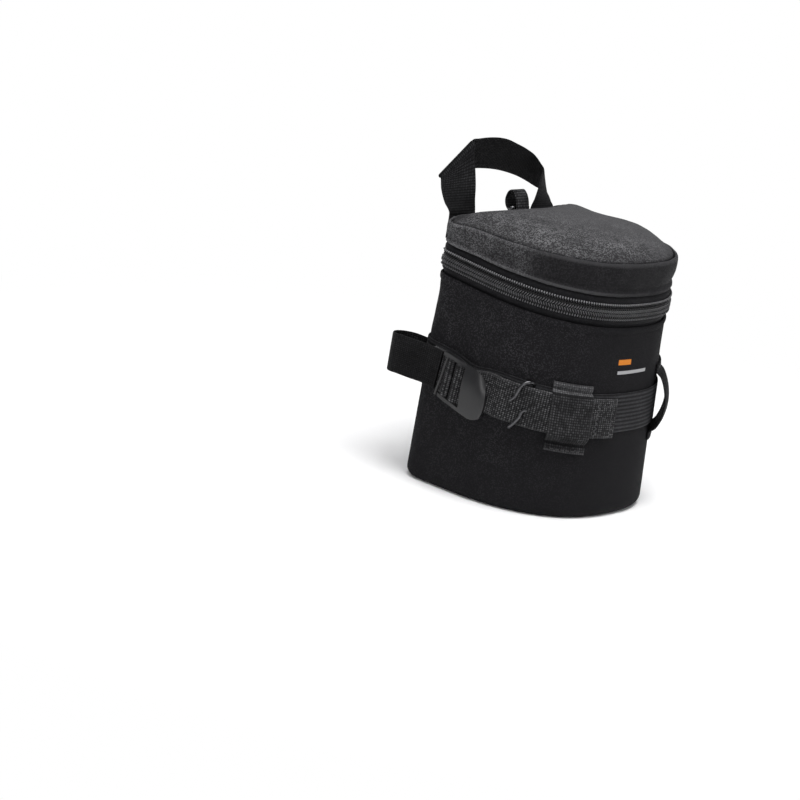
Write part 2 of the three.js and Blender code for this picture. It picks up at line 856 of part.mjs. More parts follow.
const anchor_end_run = corner_start;
const anchor_low = stepsBetween(anchor_end_run, anchor_bar_run + bar_wrap_radius * 2, strap_step).map((run) => ({
  run,
  stand: load_stand + webbing_ply,
  along: 0,
  out: -1,
}));
const anchor_back = stepsBetween(anchor_bar_run + bar_wrap_radius * 5.5, anchor_end_run, strap_step).map((run) => ({
  run,
  stand: tail_stand,
  along: 0,
  out: 1,
}));
const anchor_places = [
  ...anchor_low,
  ...foldPlaces(anchor_bar_run, lock_bar_stand, -1),
  ...settled(anchor_bar_run, lock_bar_stand, -1),
  ...anchor_back,
];
piece("anchor_webbing", strapStrip(anchor_places), black_webbing, pouch);

// Belt loop: from the side of the pouch straight back, round, and along the back panel
const belt_stand = tail_stand + webbing_ply + ply_gap;
const belt_start_run = anchor_bar_run + bar_wrap_radius * 4.4;
const belt_x = skin(-anchor_end_run, strap_height, belt_stand).point.x;
const turn_y = back_y + loop_depth - loop_radius;
const belt_path = [];
for (const run of stepsBetween(belt_start_run, anchor_end_run, strap_step)) {
  belt_path.push(wallRow(-run, belt_stand, strap_height));
}
const loop_middle = strapMiddle(-anchor_end_run, strap_height);
const [near_low, near_high] = wallRow(-anchor_end_run, 0, strap_height);
const near_lean = near_low.point.x - near_high.point.x;

// A row of the loop: upright but for the wall's flare, which it loses as it droops
function beltPlace(x, y, ox, oy, droop) {
  const lean = ((1 - droop) * near_lean) / 2;
  const z = loop_middle - loop_droop * droop;
  const out = new THREE.Vector3(ox, oy, 0);
  return [
    { point: new THREE.Vector3(x + lean, y, z - half_webbing), out },
    { point: new THREE.Vector3(x - lean, y, z + half_webbing), out },
  ];
}
belt_path.push(beltPlace(belt_x, back_y, -1, 0, 0));
const loop_turns = [...Array(9).keys()].map((k) => (Math.PI * k) / 8);
for (const turn of loop_turns) {
  const nx = -Math.cos(turn);
  const ny = Math.sin(turn);
  belt_path.push(beltPlace(belt_x + loop_radius + loop_radius * nx, turn_y + loop_radius * ny, nx, ny, turn / Math.PI));
}
const belt_far_x = belt_x + loop_radius * 2;
const back_stand = band_gap;
const bend_turns = [...Array(4).keys()].map((k) => (Math.PI * k) / 6);
for (const turn of bend_turns) {
  const x = belt_far_x + loop_bend_radius * (1 - Math.cos(turn));
  const y = back_y + back_stand + loop_bend_radius * (1 - Math.sin(turn));
  belt_path.push(beltPlace(x, y, Math.cos(turn), Math.sin(turn), 1));
}
const belt_sewn_x = belt_far_x + loop_bend_radius + loop_sewn_length;
belt_path.push(beltPlace(belt_sewn_x, back_y + back_stand, 0, 1, 1));
piece("belt_loop", clothStrip(belt_path, webbing_ply), black_webbing, pouch);

// Gear tabs: upright webbing, sewn to the wall above and below the band
const tab_columns = stepsBetween(-half_webbing, half_webbing, webbing_width / 4);

function tabRow(centre_run, level, standAt) {
  return tab_columns.map((offset) => {
    const run = centre_run + offset;
    return skin(run, strapMiddle(run, level), standAt(run));
  });
}
const on_wall = () => band_gap;
const over_strap = (run) => tail_stand + webbing_ply + liftAt(-run) + tab_gap;
const half_on = (run) => (over_strap(run) + band_gap) / 2;
const tab_rows = [
  tabRow(-gear_tab_run, tab_bottom, on_wall),
  tabRow(-gear_tab_run, tab_bottom + tab_hem, on_wall),
  tabRow(-gear_tab_run, (tab_bottom + tab_hem + strap_height - half_webbing) / 2, half_on),
  tabRow(-gear_tab_run, strap_height - half_webbing, over_strap),
  tabRow(-gear_tab_run, strap_height, over_strap),
  tabRow(-gear_tab_run, strap_height + half_webbing, over_strap),
  tabRow(-gear_tab_run, (strap_height + half_webbing + tab_top) / 2, half_on),
  tabRow(-gear_tab_run, tab_top, on_wall),
];
piece("left_gear_tab", clothStrip(tab_rows, webbing_ply), black_webbing, pouch);

const loop_sewn = [loop_bottom, loop_bottom + tab_hem];
const loop_steps = 8;
const loop_rows = loop_sewn.map((level) => tabRow(gear_tab_run, level, on_wall));
for (let k = 1; k < loop_steps; k += 1) {
  const share = k / loop_steps;
  const level = loop_bottom + tab_hem + (loop_top - loop_bottom - tab_hem * 2) * share;
  const bow = Math.sin(Math.PI * share) ** 0.6;
  loop_rows.push(tabRow(gear_tab_run, level, () => band_gap + loop_bulge * bow));
}
loop_rows.push(tabRow(gear_tab_run, loop_top - tab_hem, on_wall));
loop_rows.push(tabRow(gear_tab_run, loop_top, on_wall));
piece("right_gear_loop", clothStrip(loop_rows, webbing_ply), black_webbing, pouch);

// Ladder lock: two bars that the webbing goes round, side rails and a lever plate
const lock_length = anchor_bar_run - lever_tip_run;
const lever_x = anchor_bar_run - lever_back_run;
const half_lock = lock_width / 2;
const lock_span = lock_width - lock_rail_width;
const rail_length = lock_length + lock_back_overhang;
const rail_height = lock_rail_high - lock_rail_low;
const rail_x = (lock_length - lock_back_overhang) / 2;
const rail_z = (lock_rail_high + lock_rail_low) / 2 - lock_bar_stand;

function lockBar(x) {
  const bar = new THREE.CylinderGeometry(lock_bar_radius, lock_bar_radius, lock_span, 12);
  return bar.translate(x, 0, 0);
}
const lever = box(
  lock_length - lever_x,
  lock_span,
  lever_high - lever_low,
  (lock_length + lever_x) / 2,
  0,
  (lever_high + lever_low) / 2 - lock_bar_stand,
);
const lock_parts = [
  lockBar(0),
  lockBar(mid_bar_x),
  lever,
  box(rail_length, lock_rail_width, rail_height, rail_x, (half_lock + lock_span / 2) / 2, rail_z),
  box(rail_length, lock_rail_width, rail_height, rail_x, -(half_lock + lock_span / 2) / 2, rail_z),
];
const lock_outline = roundedOutline(
  -lock_back_overhang,
  -half_lock,
  lock_length,
  half_lock,
  lock_rail_width / 2,
  lever_corner,
);
const lock_blank = plate(lock_outline, lock_rail_low - lock_width, lever_high, 5);
const lock_solid = joined(lock_parts).intersect(toSolid(lock_blank));
const ladder_lock = piece("ladder_lock", fromSolid(lock_solid), black_plastic, pouch);
ladder_lock.position.copy(lock_back.point);
ladder_lock.quaternion.setFromRotationMatrix(new THREE.Matrix4().makeBasis(lock_x, lock_y, lock_z));

// Wire keeper: up the front of the strap, down behind it on a slant, and up the front again
const wire_back = band_gap + band_ply + (load_stand + strap_lift - band_gap - band_ply) / 2;
const wire_front = tail_stand + webbing_ply + strap_lift + keeper_clearance + keeper_wire_radius;
const wire_reach = half_webbing + keeper_clearance + keeper_wire_radius;
const wire_middle = (wire_back + wire_front) / 2;
const keeper_shares = [
  [0.43, 0.2, 1],
  [0.1, 0.62, 1],
  [-0.18, 0.95, 0.95],
  [-0.22, 1.05, 0.5],
  [-0.18, 0.95, 0.05],
  [0, 0, 0],
  [0.18, -0.95, 0.05],
  [0.22, -1.05, 0.5],
  [0.18, -0.95, 0.95],
  [-0.3, -0.55, 1],
  [-0.75, -0.1, 1],
];
const keeper_points = keeper_shares.map(([lean, rise, front]) => {
  const run = -keeper_run - keeper_lean * lean;
  const z = strapMiddle(run, strap_height) + wire_reach * rise;
  return skin(run, z, wire_back + (wire_front - wire_back) * front).point;
});
piece("strap_keeper", wire(keeper_points, keeper_wire_radius, 40, 8), dark_metal, pouch);

// Handle: one webbing. Its ends are sewn to the back of the lid; the free part folds over twice
const back_run = perimeter / 2;
const lid_seam = wallPoint(back_run, top_high, 0);
const handle_seat_y = back_y + lid_hem_lip + handle_stand + webbing_ply / 2;
const handle_seat_z = lid_seam.z + ply_gap * 2;
const handle = new THREE.Group();
handle.position.set(0, handle_seat_y, handle_seat_z);
lid.add(handle);

function sewnEnd(name, centre) {
  const length = handle_sewn_length;
  const shape = box(webbing_width, webbing_ply, length, 0, 0, -length / 2);
  const end = piece(name, shape, black_webbing, lid);
  end.position.set(centre, handle_seat_y, handle_seat_z - handle_hinge_gap);
}
sewnEnd("handle_left_end", -handle_left_reach);
sewnEnd("handle_right_end", handle_span - handle_left_reach);

// Middles and half widths of the handle's rows, from the left seam, over and down to the right seam
const left_leg_shares = [
  [0, 0, 0, 1, 0, 0],
  [-0.023, 0.158, 0.16, 0.965, -0.15, 0.065],
  [-0.031, 0.367, 0.338, 0.915, -0.32, 0.13],
  [-0.015, 0.625, 0.501, 0.885, -0.34, 0.305],
  [-0.001, 0.792, 0.632, 0.905, -0.23, 0.63],
  [0.006, 0.887, 0.725, 0.92, -0.145, 0.915],
];
const run_shares = [
  [0.068, 1.042, 0.749, 0.68, -0.15, 0.905],
  [0.178, 1.071, 0.775, 0.37, -0.235, 0.875],
  [0.333, 1.05, 0.796, 0.15, -0.28, 0.865],
  [0.496, 1.046, 0.782, -0.025, -0.295, 0.86],
  [0.667, 1.1, 0.741, -0.25, -0.25, 0.87],
  [0.806, 1.15, 0.684, -0.575, -0.16, 0.925],
  [0.91, 1.137, 0.649, -0.92, -0.025, 0.955],
];
const right_leg_shares = [
  [0.975, 0.892, 0.638, -1.14, 0.13, 0.95],
  [0.994, 0.675, 0.529, -0.995, -0.01, 0.72],
  [1.009, 0.392, 0.371, -0.885, -0.15, 0.46],
  [1.008, 0.2, 0.182, -0.88, -0.16, 0.2],
  [0.997, 0.058, 0.003, -0.93, -0.07, 0],
];

function handleStretch(shares) {
  const rows = shares.map(([cx, cy, cz, wx, wy, wz]) => ({
    middle: new THREE.Vector3(handle_span * cx - handle_left_reach, handle_lean * cy, handle_rise * cz),
    half: new THREE.Vector3(wx, wy, wz).multiplyScalar(half_webbing),
  }));
  rows.forEach((row, i) => {
    const ahead = rows[Math.min(i + 1, rows.length - 1)].middle;
    const behind = rows[Math.max(i - 1, 0)].middle;
    row.way = ahead.clone().sub(behind);
    row.out = new THREE.Vector3().crossVectors(row.half, row.way).normalize();
  });
  return rows;
}

function handleRow({ middle, half, out }) {
  const face = middle.clone().addScaledVector(out, -webbing_ply / 2);
  return [
    { point: face.clone().sub(half), out },
    { point: face.clone().add(half), out },
  ];
}

// The webbing turned over along its slanting row, so that its other face comes behind
function foldOver(row, way) {
  const across = row.half.clone().normalize();
  const ahead = way.clone().addScaledVector(across, -across.dot(way)).normalize();
  const turns = [45, 90, 135, 180].map((degrees) => (degrees * Math.PI) / 180);
  return turns.map((turn) => {
    const out = row.out.clone().multiplyScalar(Math.cos(turn)).addScaledVector(ahead, Math.sin(turn));
    const centre = row.middle.clone().addScaledVector(row.out, -webbing_ply / 2 - handle_fold_radius);
    const face = centre.addScaledVector(out, handle_fold_radius);
    return [
      { point: face.clone().sub(row.half), out },
      { point: face.clone().add(row.half), out },
    ];
  });
}
const left_leg = handleStretch(left_leg_shares);
const handle_run = handleStretch(run_shares);
const right_leg = handleStretch(right_leg_shares);
const left_fold = left_leg[left_leg.length - 1];
const right_fold = right_leg[0];
const handle_rows = [
  ...left_leg.map(handleRow),
  ...foldOver(left_fold, left_fold.way),
  ...handle_run.map(handleRow),
  ...foldOver(right_fold, right_fold.way.clone().negate()).reverse(),
  ...right_leg.map(handleRow),
];
piece("grab_handle", clothStrip(handle_rows, webbing_ply), black_webbing, handle);

// Ring tab: a narrow webbing folded in two, sewn behind the lid, with its loop above the seam
const tab_leg_y = back_y + lid_hem_lip + handle_stand + webbing_ply;
const tab_loop_shares = [
  [0, -1.05, -1, 0],
  [0, -0.1, -1, 0],
  [0.02, 0.35, -1, 0.05],
  [0.14, 0.68, -0.88, 0.47],
  [0.38, 0.9, -0.45, 0.9],
  [0.62, 0.93, 0.25, 0.97],
  [0.84, 0.78, 0.8, 0.6],
  [0.92, 0.5, 1, 0],
  [0.84, 0.28, 0.9, -0.42],
  [0.5, 0.06, 0.7, -0.7],
  [0.16, -0.14, 0.75, -0.66],
  [0.03, -0.36, 0.98, -0.18],
  [0.03, -1.05, 1, 0],
];
const tab_loop_rows = tab_loop_shares.map(([across, rise, oy, oz]) => {
  const y = tab_leg_y + ring_tab_depth * across;
  const z = lid_seam.z + ring_tab_rise * rise;
  const out = new THREE.Vector3(0, oy, oz);
  return [
    { point: new THREE.Vector3(ring_place - ring_tab_width / 2, y, z), out },
    { point: new THREE.Vector3(ring_place + ring_tab_width / 2, y, z), out },
  ];
});
piece("d_ring_tab", clothStrip(tab_loop_rows, webbing_ply), black_webbing, lid);

// D-ring: a straight bar through the tab and a bow that hangs behind the lid
const ring = new THREE.Group();
ring.position.set(ring_place, tab_leg_y + ring_bar_reach, lid_seam.z + ring_bar_rise);
ring.rotation.x = THREE.MathUtils.degToRad(ring_rest_angle);
lid.add(ring);
const ring_half = ring_tab_width / 2 + ring_side_gap + ring_wire_radius;
const bow_height = ring_length - ring_half - ring_wire_radius;
const bow_points = [
  [-1, 0],
  [-1, -bow_height / 2],
  [-1, -bow_height],
];
const bow_path = bow_points.map(([side, z]) => new THREE.Vector3(side * ring_half, 0, z));
for (const turn of [0.2, 0.4, 0.6, 0.8].map((share) => share * Math.PI)) {
  const x = -ring_half * Math.cos(turn);
  bow_path.push(new THREE.Vector3(x, 0, -bow_height - ring_half * Math.sin(turn)));
}
bow_path.push(...bow_points.map(([side, z]) => new THREE.Vector3(-side * ring_half, 0, z)).reverse());
const ring_bar = new THREE.CylinderGeometry(ring_wire_radius, ring_wire_radius, ring_half * 2, 12);
ring_bar.rotateZ(Math.PI / 2);
const ring_corners = [-1, 1].map((side) => {
  const corner = new THREE.SphereGeometry(ring_wire_radius * 1.04, 12, 8);
  return corner.translate(side * ring_half, 0, 0);
});
const ring_solid = joined([ring_bar, wire(bow_path, ring_wire_radius, 26, 8), ...ring_corners]);
piece("d_ring", fromSolid(ring_solid), dark_metal, ring);

// Slider on the right side: two plates joined by a post between the coils, and a bridge.
// Its own frame has x along its travel to the front, y outward and z up.
const slider_run = corner_start - slider_to_corner;
const chain = wallPoint(slider_run, zip_height, 0);
const ahead = wallPoint(slider_run - slider_length, zip_height, 0).sub(chain).normalize();
const slider = new THREE.Group();
const slider_out = new THREE.Vector3(1, 0, 0);
const slider_up = new THREE.Vector3().crossVectors(ahead, slider_out);
slider.position.copy(chain);
slider.quaternion.setFromRotationMatrix(new THREE.Matrix4().makeBasis(ahead, slider_out, slider_up));
pouch.add(slider);
const outer_plate_in = slider_clearance - bead_out;
const outer_plate_out = outer_plate_in + slider_plate;
const inner_plate_out = -tape_in - slider_clearance;
const inner_plate_in = inner_plate_out - slider_plate;
const half_chain = zip_gap / 2 + bead_height;
const plate_height = (half_chain + slider_clearance + slider_flange) * 2;
const flange_low = -plate_height / 2;
const flange_in = slider_clearance - tape_out;
const foot_x = (bridge_span - bridge_foot) / 2;
const bridge_height = outer_plate_out + pull_cord_radius * 2 + pull_cord_gap * 2 + bridge_bar_radius;
const plate_depth = (outer_plate_in + outer_plate_out) / 2;
const inner_depth = (inner_plate_in + inner_plate_out) / 2;
const post_depth = outer_plate_out - inner_plate_in;
const foot_depth = bridge_height - plate_depth;
const bridge_bar = new THREE.CylinderGeometry(bridge_bar_radius, bridge_bar_radius, bridge_span, 12);
bridge_bar.rotateZ(Math.PI / 2);
bridge_bar.translate(0, bridge_height, 0);
const slider_parts = [
  box(slider_length, slider_plate, plate_height, 0, plate_depth, 0),
  box(slider_length, slider_plate, plate_height, 0, inner_depth, 0),
  box(slider_post_length, post_depth - slider_plate, slider_post_ply, 0, (plate_depth + inner_depth) / 2, 0),
  box(
    slider_length,
    plate_depth - flange_in,
    slider_flange,
    0,
    (plate_depth + flange_in) / 2,
    flange_low + slider_flange / 2,
  ),
  box(bridge_foot, foot_depth, bridge_bar_radius * 2, foot_x, plate_depth + foot_depth / 2, 0),
  box(bridge_foot, foot_depth, bridge_bar_radius * 2, -foot_x, plate_depth + foot_depth / 2, 0),
  bridge_bar,
];
piece("zip_slider", fromSolid(joined(slider_parts)), dark_metal, slider);

// Pull: a cord loop over the bridge bar, with a moulded grip below
const pull = new THREE.Group();
pull.position.set(0, bridge_height, 0);
slider.add(pull);
const cord_bend = bridge_bar_radius + pull_cord_gap + pull_cord_radius;
const cord_path = [];
for (const share of [1, 0.66, 0.33]) {
  cord_path.push(new THREE.Vector3(0, -cord_bend, -pull_cord_drop * share));
}
for (const turn of [0, 0.25, 0.5, 0.75, 1].map((share) => share * Math.PI)) {
  cord_path.push(new THREE.Vector3(0, -cord_bend * Math.cos(turn), cord_bend * Math.sin(turn)));
}
for (const share of [0.33, 0.66, 1]) {
  cord_path.push(new THREE.Vector3(0, cord_bend, -pull_cord_drop * share));
}
piece("zip_pull_loop", wire(cord_path, pull_cord_radius, 30, 8), black_webbing, pull);
const grip_outline = roundedOutline(
  -pull_grip_width / 2,
  0,
  pull_grip_width / 2,
  pull_grip_length,
  pull_grip_width / 4,
  pull_grip_width / 4,
);
const grip_shape = plate(grip_outline, -pull_grip_depth / 2, pull_grip_depth / 2, 4);
grip_shape.rotateX(-Math.PI / 2);
const grip = piece("zip_pull_grip", mergedShape(grip_shape), black_rubber, pull);
grip.position.set(0, 0, -pull_cord_drop - slider_clearance);

export default pouch;
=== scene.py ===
import bpy
import math
import numpy as np
from mathutils import Matrix, Vector, noise


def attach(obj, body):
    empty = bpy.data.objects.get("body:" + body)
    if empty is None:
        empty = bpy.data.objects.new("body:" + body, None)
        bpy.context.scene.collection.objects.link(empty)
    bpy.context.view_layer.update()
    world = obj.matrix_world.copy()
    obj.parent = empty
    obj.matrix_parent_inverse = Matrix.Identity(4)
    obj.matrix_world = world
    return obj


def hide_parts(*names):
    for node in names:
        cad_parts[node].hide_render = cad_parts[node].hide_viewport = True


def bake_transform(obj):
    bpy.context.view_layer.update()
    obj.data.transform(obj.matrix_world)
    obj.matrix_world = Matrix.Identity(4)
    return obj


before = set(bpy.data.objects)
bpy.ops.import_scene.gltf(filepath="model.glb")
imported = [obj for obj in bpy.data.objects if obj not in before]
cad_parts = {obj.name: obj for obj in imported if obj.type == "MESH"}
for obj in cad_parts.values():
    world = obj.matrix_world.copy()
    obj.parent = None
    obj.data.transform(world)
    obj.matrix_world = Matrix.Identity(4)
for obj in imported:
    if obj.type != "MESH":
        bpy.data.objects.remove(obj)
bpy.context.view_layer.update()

# Camera at the photograph's angle, off to the left front, a little above the pouch
# and rolled on its own axis, because the real pouch hangs askew.
azimuth, elevation, roll = (math.radians(angle) for angle in (-50.68, 14.46, 9.28))
camera_back = Vector((
    math.sin(azimuth) * math.cos(elevation),
    -math.cos(azimuth) * math.cos(elevation),
    math.sin(elevation),
))
camera_distance, lens_length, sensor_width = 1.3781, 122.56, 36
pouch_middle = Vector((0, 0, 0.08183))
aim_right, aim_up = 0.08216, 0.03403
level_right = Vector((math.cos(azimuth), math.sin(azimuth), 0))
level_up = camera_back.cross(level_right)
camera_right = level_right * math.cos(roll) + level_up * math.sin(roll)
camera_up = level_up * math.cos(roll) - level_right * math.sin(roll)
looked_at = pouch_middle - camera_right * aim_right - camera_up * aim_up
bpy.ops.object.camera_add()
camera = bpy.context.object
camera.data.sensor_width = sensor_width
camera.data.lens = lens_length
camera.matrix_world = (
    Matrix.Translation(looked_at + camera_back * camera_distance)
    @ Matrix((camera_right, camera_up, camera_back)).transposed().to_4x4()
)
bpy.context.scene.camera = camera

# Outer cloth of the body: a side and front wall in one wrap, a flat back and a base, of black
# coated nylon. The three are sewn together inside out, so each seam is a shallow crease.
# The wall swells a little between its seams, the waist band and the hem of the mouth.
MM = 0.001
half_width = 55.25
back_y = 45.0
front_start = 17.5
front_depth = 62.5
corner_radius = 11.0
front_power = 2.46
hem_level = 102.0
zip_level = 109.5
lid_hem_level = 118.6
lid_top_level = 131.0
base_radius = 5.0
base_flare = 0.05
body_slope, lid_slope = 0.104, 0.056
cloth_ply = 0.8

turn = np.linspace(math.pi / 2, math.pi, 25)
corner_plan = np.stack((
    corner_radius * (np.cos(turn) + 1) - half_width,
    corner_radius * (np.sin(turn) - 1) + back_y,
    np.cos(turn),
    np.sin(turn),
), 1)
turn = np.linspace(math.pi, 0, 241)
share_x = np.sign(np.cos(turn)) * np.abs(np.cos(turn)) ** (2 / front_power)
share_y = np.abs(np.sin(turn)) ** (2 / front_power)
normal_x = np.sign(share_x) * np.abs(share_x) ** (front_power - 1) / half_width
normal_y = -(share_y ** (front_power - 1)) / front_depth
normal_size = np.hypot(normal_x, normal_y)
front_plan = np.stack((
    half_width * share_x,
    front_start - front_depth * share_y,
    normal_x / normal_size,
    normal_y / normal_size,
), 1)
plan = np.vstack((corner_plan, front_plan, corner_plan[::-1] * (-1, 1, -1, 1), corner_plan[:1]))
plan_runs = np.concatenate(([0], np.cumsum(np.hypot(*np.diff(plan[:, :2], axis=0).T))))
plan_runs -= plan_runs[len(corner_plan) + 120]
perimeter = plan_runs[-1] - plan_runs[0]
wrap_end = -plan_runs[0]
corner_start = wrap_end - corner_radius * math.pi / 2


def plan_at(run):
    """The plan's place and way out at a run from the front middle, in mm."""
    at = (np.asarray(run, float) - plan_runs[0]) % perimeter + plan_runs[0]
    x, y, nx, ny = (np.interp(at, plan_runs, plan[:, k]) for k in range(4))
    size = np.hypot(nx, ny)
    return x, y, nx / size, ny / size


def slope_at(level):
    """How steeply the pouch's rings rise towards the back, which the lid lessens again."""
    lid_share = np.clip((level - lid_hem_level) / (lid_top_level - lid_hem_level), 0, 1)
    return body_slope * np.clip(level, 0, hem_level) / hem_level - lid_slope * lid_share


def wall(run, level, inset=0.0):
    """Points at runs round the wall from its front middle, at levels, set in from its face, in mm."""
    x, y, nx, ny = plan_at(run)
    level = np.asarray(level, float)
    flare = 1 + base_flare * np.clip(1 - level / hem_level, 0, 1)
    px = x * flare - nx * inset
    py = back_y + (y - back_y) * flare - ny * inset
    return np.stack(np.broadcast_arrays(px, py, level + slope_at(level) * py), -1)


def skin(run, z, stand):
    """Points at true heights off the wall, with the ways out from it and forward along it."""
    run, z, stand = np.broadcast_arrays(*(np.asarray(v, float) for v in (run, z, stand)))
    level = z
    for _ in range(4):
        level = z - slope_at(level) * wall(run, level, -stand)[..., 1]
    nx, ny = plan_at(run)[2:]
    flat = np.zeros_like(nx)
    return wall(run, level, -stand), np.stack((nx, ny, flat), -1), np.stack((-ny, nx, flat), -1)


def only(piece):
    bpy.ops.object.select_all(action="DESELECT")
    piece.select_set(True)
    bpy.context.view_layer.objects.active = piece


def applied(piece, kind, **settings):
    """A modifier put on a piece and applied."""
    only(piece)
    change = piece.modifiers.new(kind, kind)
    for key, value in settings.items():
        setattr(change, key, value)
    bpy.ops.object.modifier_apply(modifier=change.name)


def edit(piece, *steps):
    """Edit mode operators on the whole of a piece, as pairs of operator and settings."""
    only(piece)
    bpy.ops.object.mode_set(mode="EDIT")
    bpy.ops.mesh.select_all(action="SELECT")
    for operator, settings in steps:
        operator(**settings)
    bpy.ops.object.mode_set(mode="OBJECT")


def points_of(piece):
    flat = np.empty(len(piece.data.vertices) * 3, np.float32)
    piece.data.vertices.foreach_get("co", flat)
    return flat.reshape(-1, 3).astype(float)


def move_points(piece, points):
    piece.data.vertices.foreach_set("co", np.asarray(points, np.float32).ravel())
    piece.data.update()


def sheet(name, points, u, v):
    """A grid whose rows and columns are moved to points in mm; u and v are its cloth lengths in mm."""
    rows, columns = points.shape[:2]
    bpy.ops.object.select_all(action="DESELECT")
    bpy.ops.mesh.primitive_grid_add(x_subdivisions=columns - 1, y_subdivisions=rows - 1, size=2)
    piece = bpy.context.object
    piece.name = piece.data.name = name
    start = points_of(piece)
    column = np.rint((start[:, 0] + 1) / 2 * (columns - 1)).astype(int)
    row = np.rint((start[:, 1] + 1) / 2 * (rows - 1)).astype(int)
    move_points(piece, points[row, column] * MM)
    lengths = np.stack(np.broadcast_arrays(u, v), -1) * MM
    corner = np.empty(len(piece.data.loops), np.int32)
    piece.data.loops.foreach_get("vertex_index", corner)
    uv = lengths[row[corner], column[corner]].astype(np.float32)
    piece.data.uv_layers.active.data.foreach_set("uv", uv.ravel())
    return piece


def smooth(piece, angle=35):
    only(piece)
    bpy.ops.object.shade_smooth_by_angle(angle=math.radians(angle))


def puffed(piece, seams, pressure, cap):
    """Cloth swollen by pressure between its seams, which hold each point, from 0 to 1."""
    before = points_of(piece)
    group = piece.vertex_groups.new(name="sewn")
    for i, hold in enumerate(seams):
        group.add([i], float(hold), "REPLACE")
    only(piece)
    cloth = piece.modifiers.new("cloth", "CLOTH")
    cloth.settings.vertex_group_mass = "sewn"
    cloth.settings.use_pressure = True
    cloth.settings.uniform_pressure_force = pressure
    cloth.settings.effector_weights.gravity = 0
    cloth.point_cache.frame_start = 1
    cloth.point_cache.frame_end = 20
    for frame_number in range(1, 21):
        bpy.context.scene.frame_set(frame_number)
    bpy.ops.object.modifier_apply(modifier=cloth.name)
    bpy.context.scene.frame_set(1)
    piece.vertex_groups.clear()
    move = points_of(piece) - before
    size = np.linalg.norm(move, axis=1, keepdims=True) + 1e-9
    move_points(piece, before + move / size * cap * np.tanh(size / cap))


class Wire:
    """A socket of a material's nodes; sums of wires and numbers add Math nodes."""

    def __init__(self, tree, socket=None):
        self.tree = tree
        self.socket = socket

    def node(self, kind, settings=None, sockets=None, output=0):
        new = self.tree.nodes.new(kind)
        for key, value in (settings or {}).items():
            setattr(new, key, value)
        for key, value in (sockets or {}).items():
            if isinstance(value, Wire):
                self.tree.links.new(value.socket, new.inputs[key])
            else:
                new.inputs[key].default_value = value
        return Wire(self.tree, new.outputs[output])

    def math(self, operation, *values):
        return self.node("ShaderNodeMath", {"operation": operation}, dict(enumerate(values)))

    def __add__(self, other):
        return self.math("ADD", self, other)

    def __rsub__(self, other):
        return self.math("SUBTRACT", other, self)

    def __mul__(self, other):
        return self.math("MULTIPLY", self, other)

    def __pow__(self, other):
        return self.math("POWER", self, other)

    __radd__ = __add__
    __rmul__ = __mul__

    def step(self, low, high):
        """0 below low and 1 above high, or the other way round, with a soft step between."""
        return self.node(
            "ShaderNodeMapRange",
            {"interpolation_type": "SMOOTHSTEP"},
            {"Value": self, "From Min": low, "From Max": high},
        )

    def tint(self, low, high):
        """The colour low where this is 0 and high where it is 1."""
        return self.node("ShaderNodeMix", {"data_type": "RGBA"}, {0: self, 6: low, 7: high}, 2)


def shader_of(name, roughness, specular=0.5, sheen=0.0, metallic=0.0):
    """A new material, a wire to start its nodes from, and its shader."""
    material = bpy.data.materials.new(name)
    material.use_nodes = True
    shader = material.node_tree.nodes["Principled BSDF"]
    for key, value in (
        ("Roughness", roughness), ("Specular IOR Level", specular), ("Sheen Weight", sheen),
        ("Sheen Roughness", 0.5), ("Metallic", metallic),
    ):
        shader.inputs[key].default_value = value
    return material, Wire(material.node_tree), shader


def finished(shader, colour, height, depth, rough=None):
    """Puts a colour on the shader, a height times a depth in metres as bump, and a roughness."""
    bump = height.node("ShaderNodeBump", None, {"Distance": depth, "Height": height, "Strength": 1.0})
    for key, value in (("Base Color", colour), ("Normal", bump), ("Roughness", rough)):
        if value:
            value.tree.links.new(value.socket, shader.inputs[key])


def grain_of(wire, scale, detail=2.0, roughness=0.5, kind="ShaderNodeTexNoise"):
    """A noise, or another texture, that stays with the piece."""
    spot = wire.node("ShaderNodeTexCoord", None, None, 3)
    return wire.node(kind, None, {"Vector": spot, "Scale": scale, "Detail": detail, "Roughness": roughness})


def grains(u, v, shift=0.5):
    """The grains of a weave, from places counted in grains: their height and a number each."""
    row = v.math("FLOOR", v)
    along = u + row * shift
    x = along.math("FRACT", along)
    y = v.math("FRACT", v)
    height = (x * (1 - x) * 4) ** 0.6 * (y * (1 - y) * 4) ** 0.6
    cell = u.node("ShaderNodeCombineXYZ", None, {0: along.math("FLOOR", along), 1: row})
    own = u.node("ShaderNodeTexWhiteNoise", {"noise_dimensions": "2D"}, {"Vector": cell})
    return height, own


def cloth_lengths(wire):
    """The lengths along a cloth and across it, in metres, from its UV map."""
    place = wire.node("ShaderNodeUVMap")
    split = place.node("ShaderNodeSeparateXYZ", None, {0: place})
    return split, Wire(wire.tree, split.socket.node.outputs[1])


def woven(
    name, dark, light, grain_u, grain_v, depth, roughness=0.8, sheen=0.0, glint_range=(0.3, 1.0), shift=0.5,
    even=0.25, extra=None, over=None, relief=1.0,
):
    """A woven cloth: grains of yarn in rows over soft uneven patches. Its colour is partly the weave's own
    pattern and partly painted light: painted shade in the gaps between grains and painted glints on their
    crests, brighter on some grains than others.
    """
    material, wire, shader = shader_of(name, roughness, 0.10, sheen)
    u, v = cloth_lengths(wire)
    height, own = grains(u * (1 / grain_u), v * (1 / grain_v), shift)
    patches = grain_of(wire, 80.0, 4.0, 0.6)
    shade = (own.step(*glint_range) * (1 - even) + even) * height**relief * (patches.step(0.3, 0.72) * 0.6 + 0.4)
    if extra:
        shade = extra(u, v, shade)
    colour = shade.math("MINIMUM", shade, 1.0).tint(dark, light)
    if over:
        colour = over(u, v, colour)
    finished(shader, colour, height + own * 0.25 + patches * 0.8, depth)
    return material


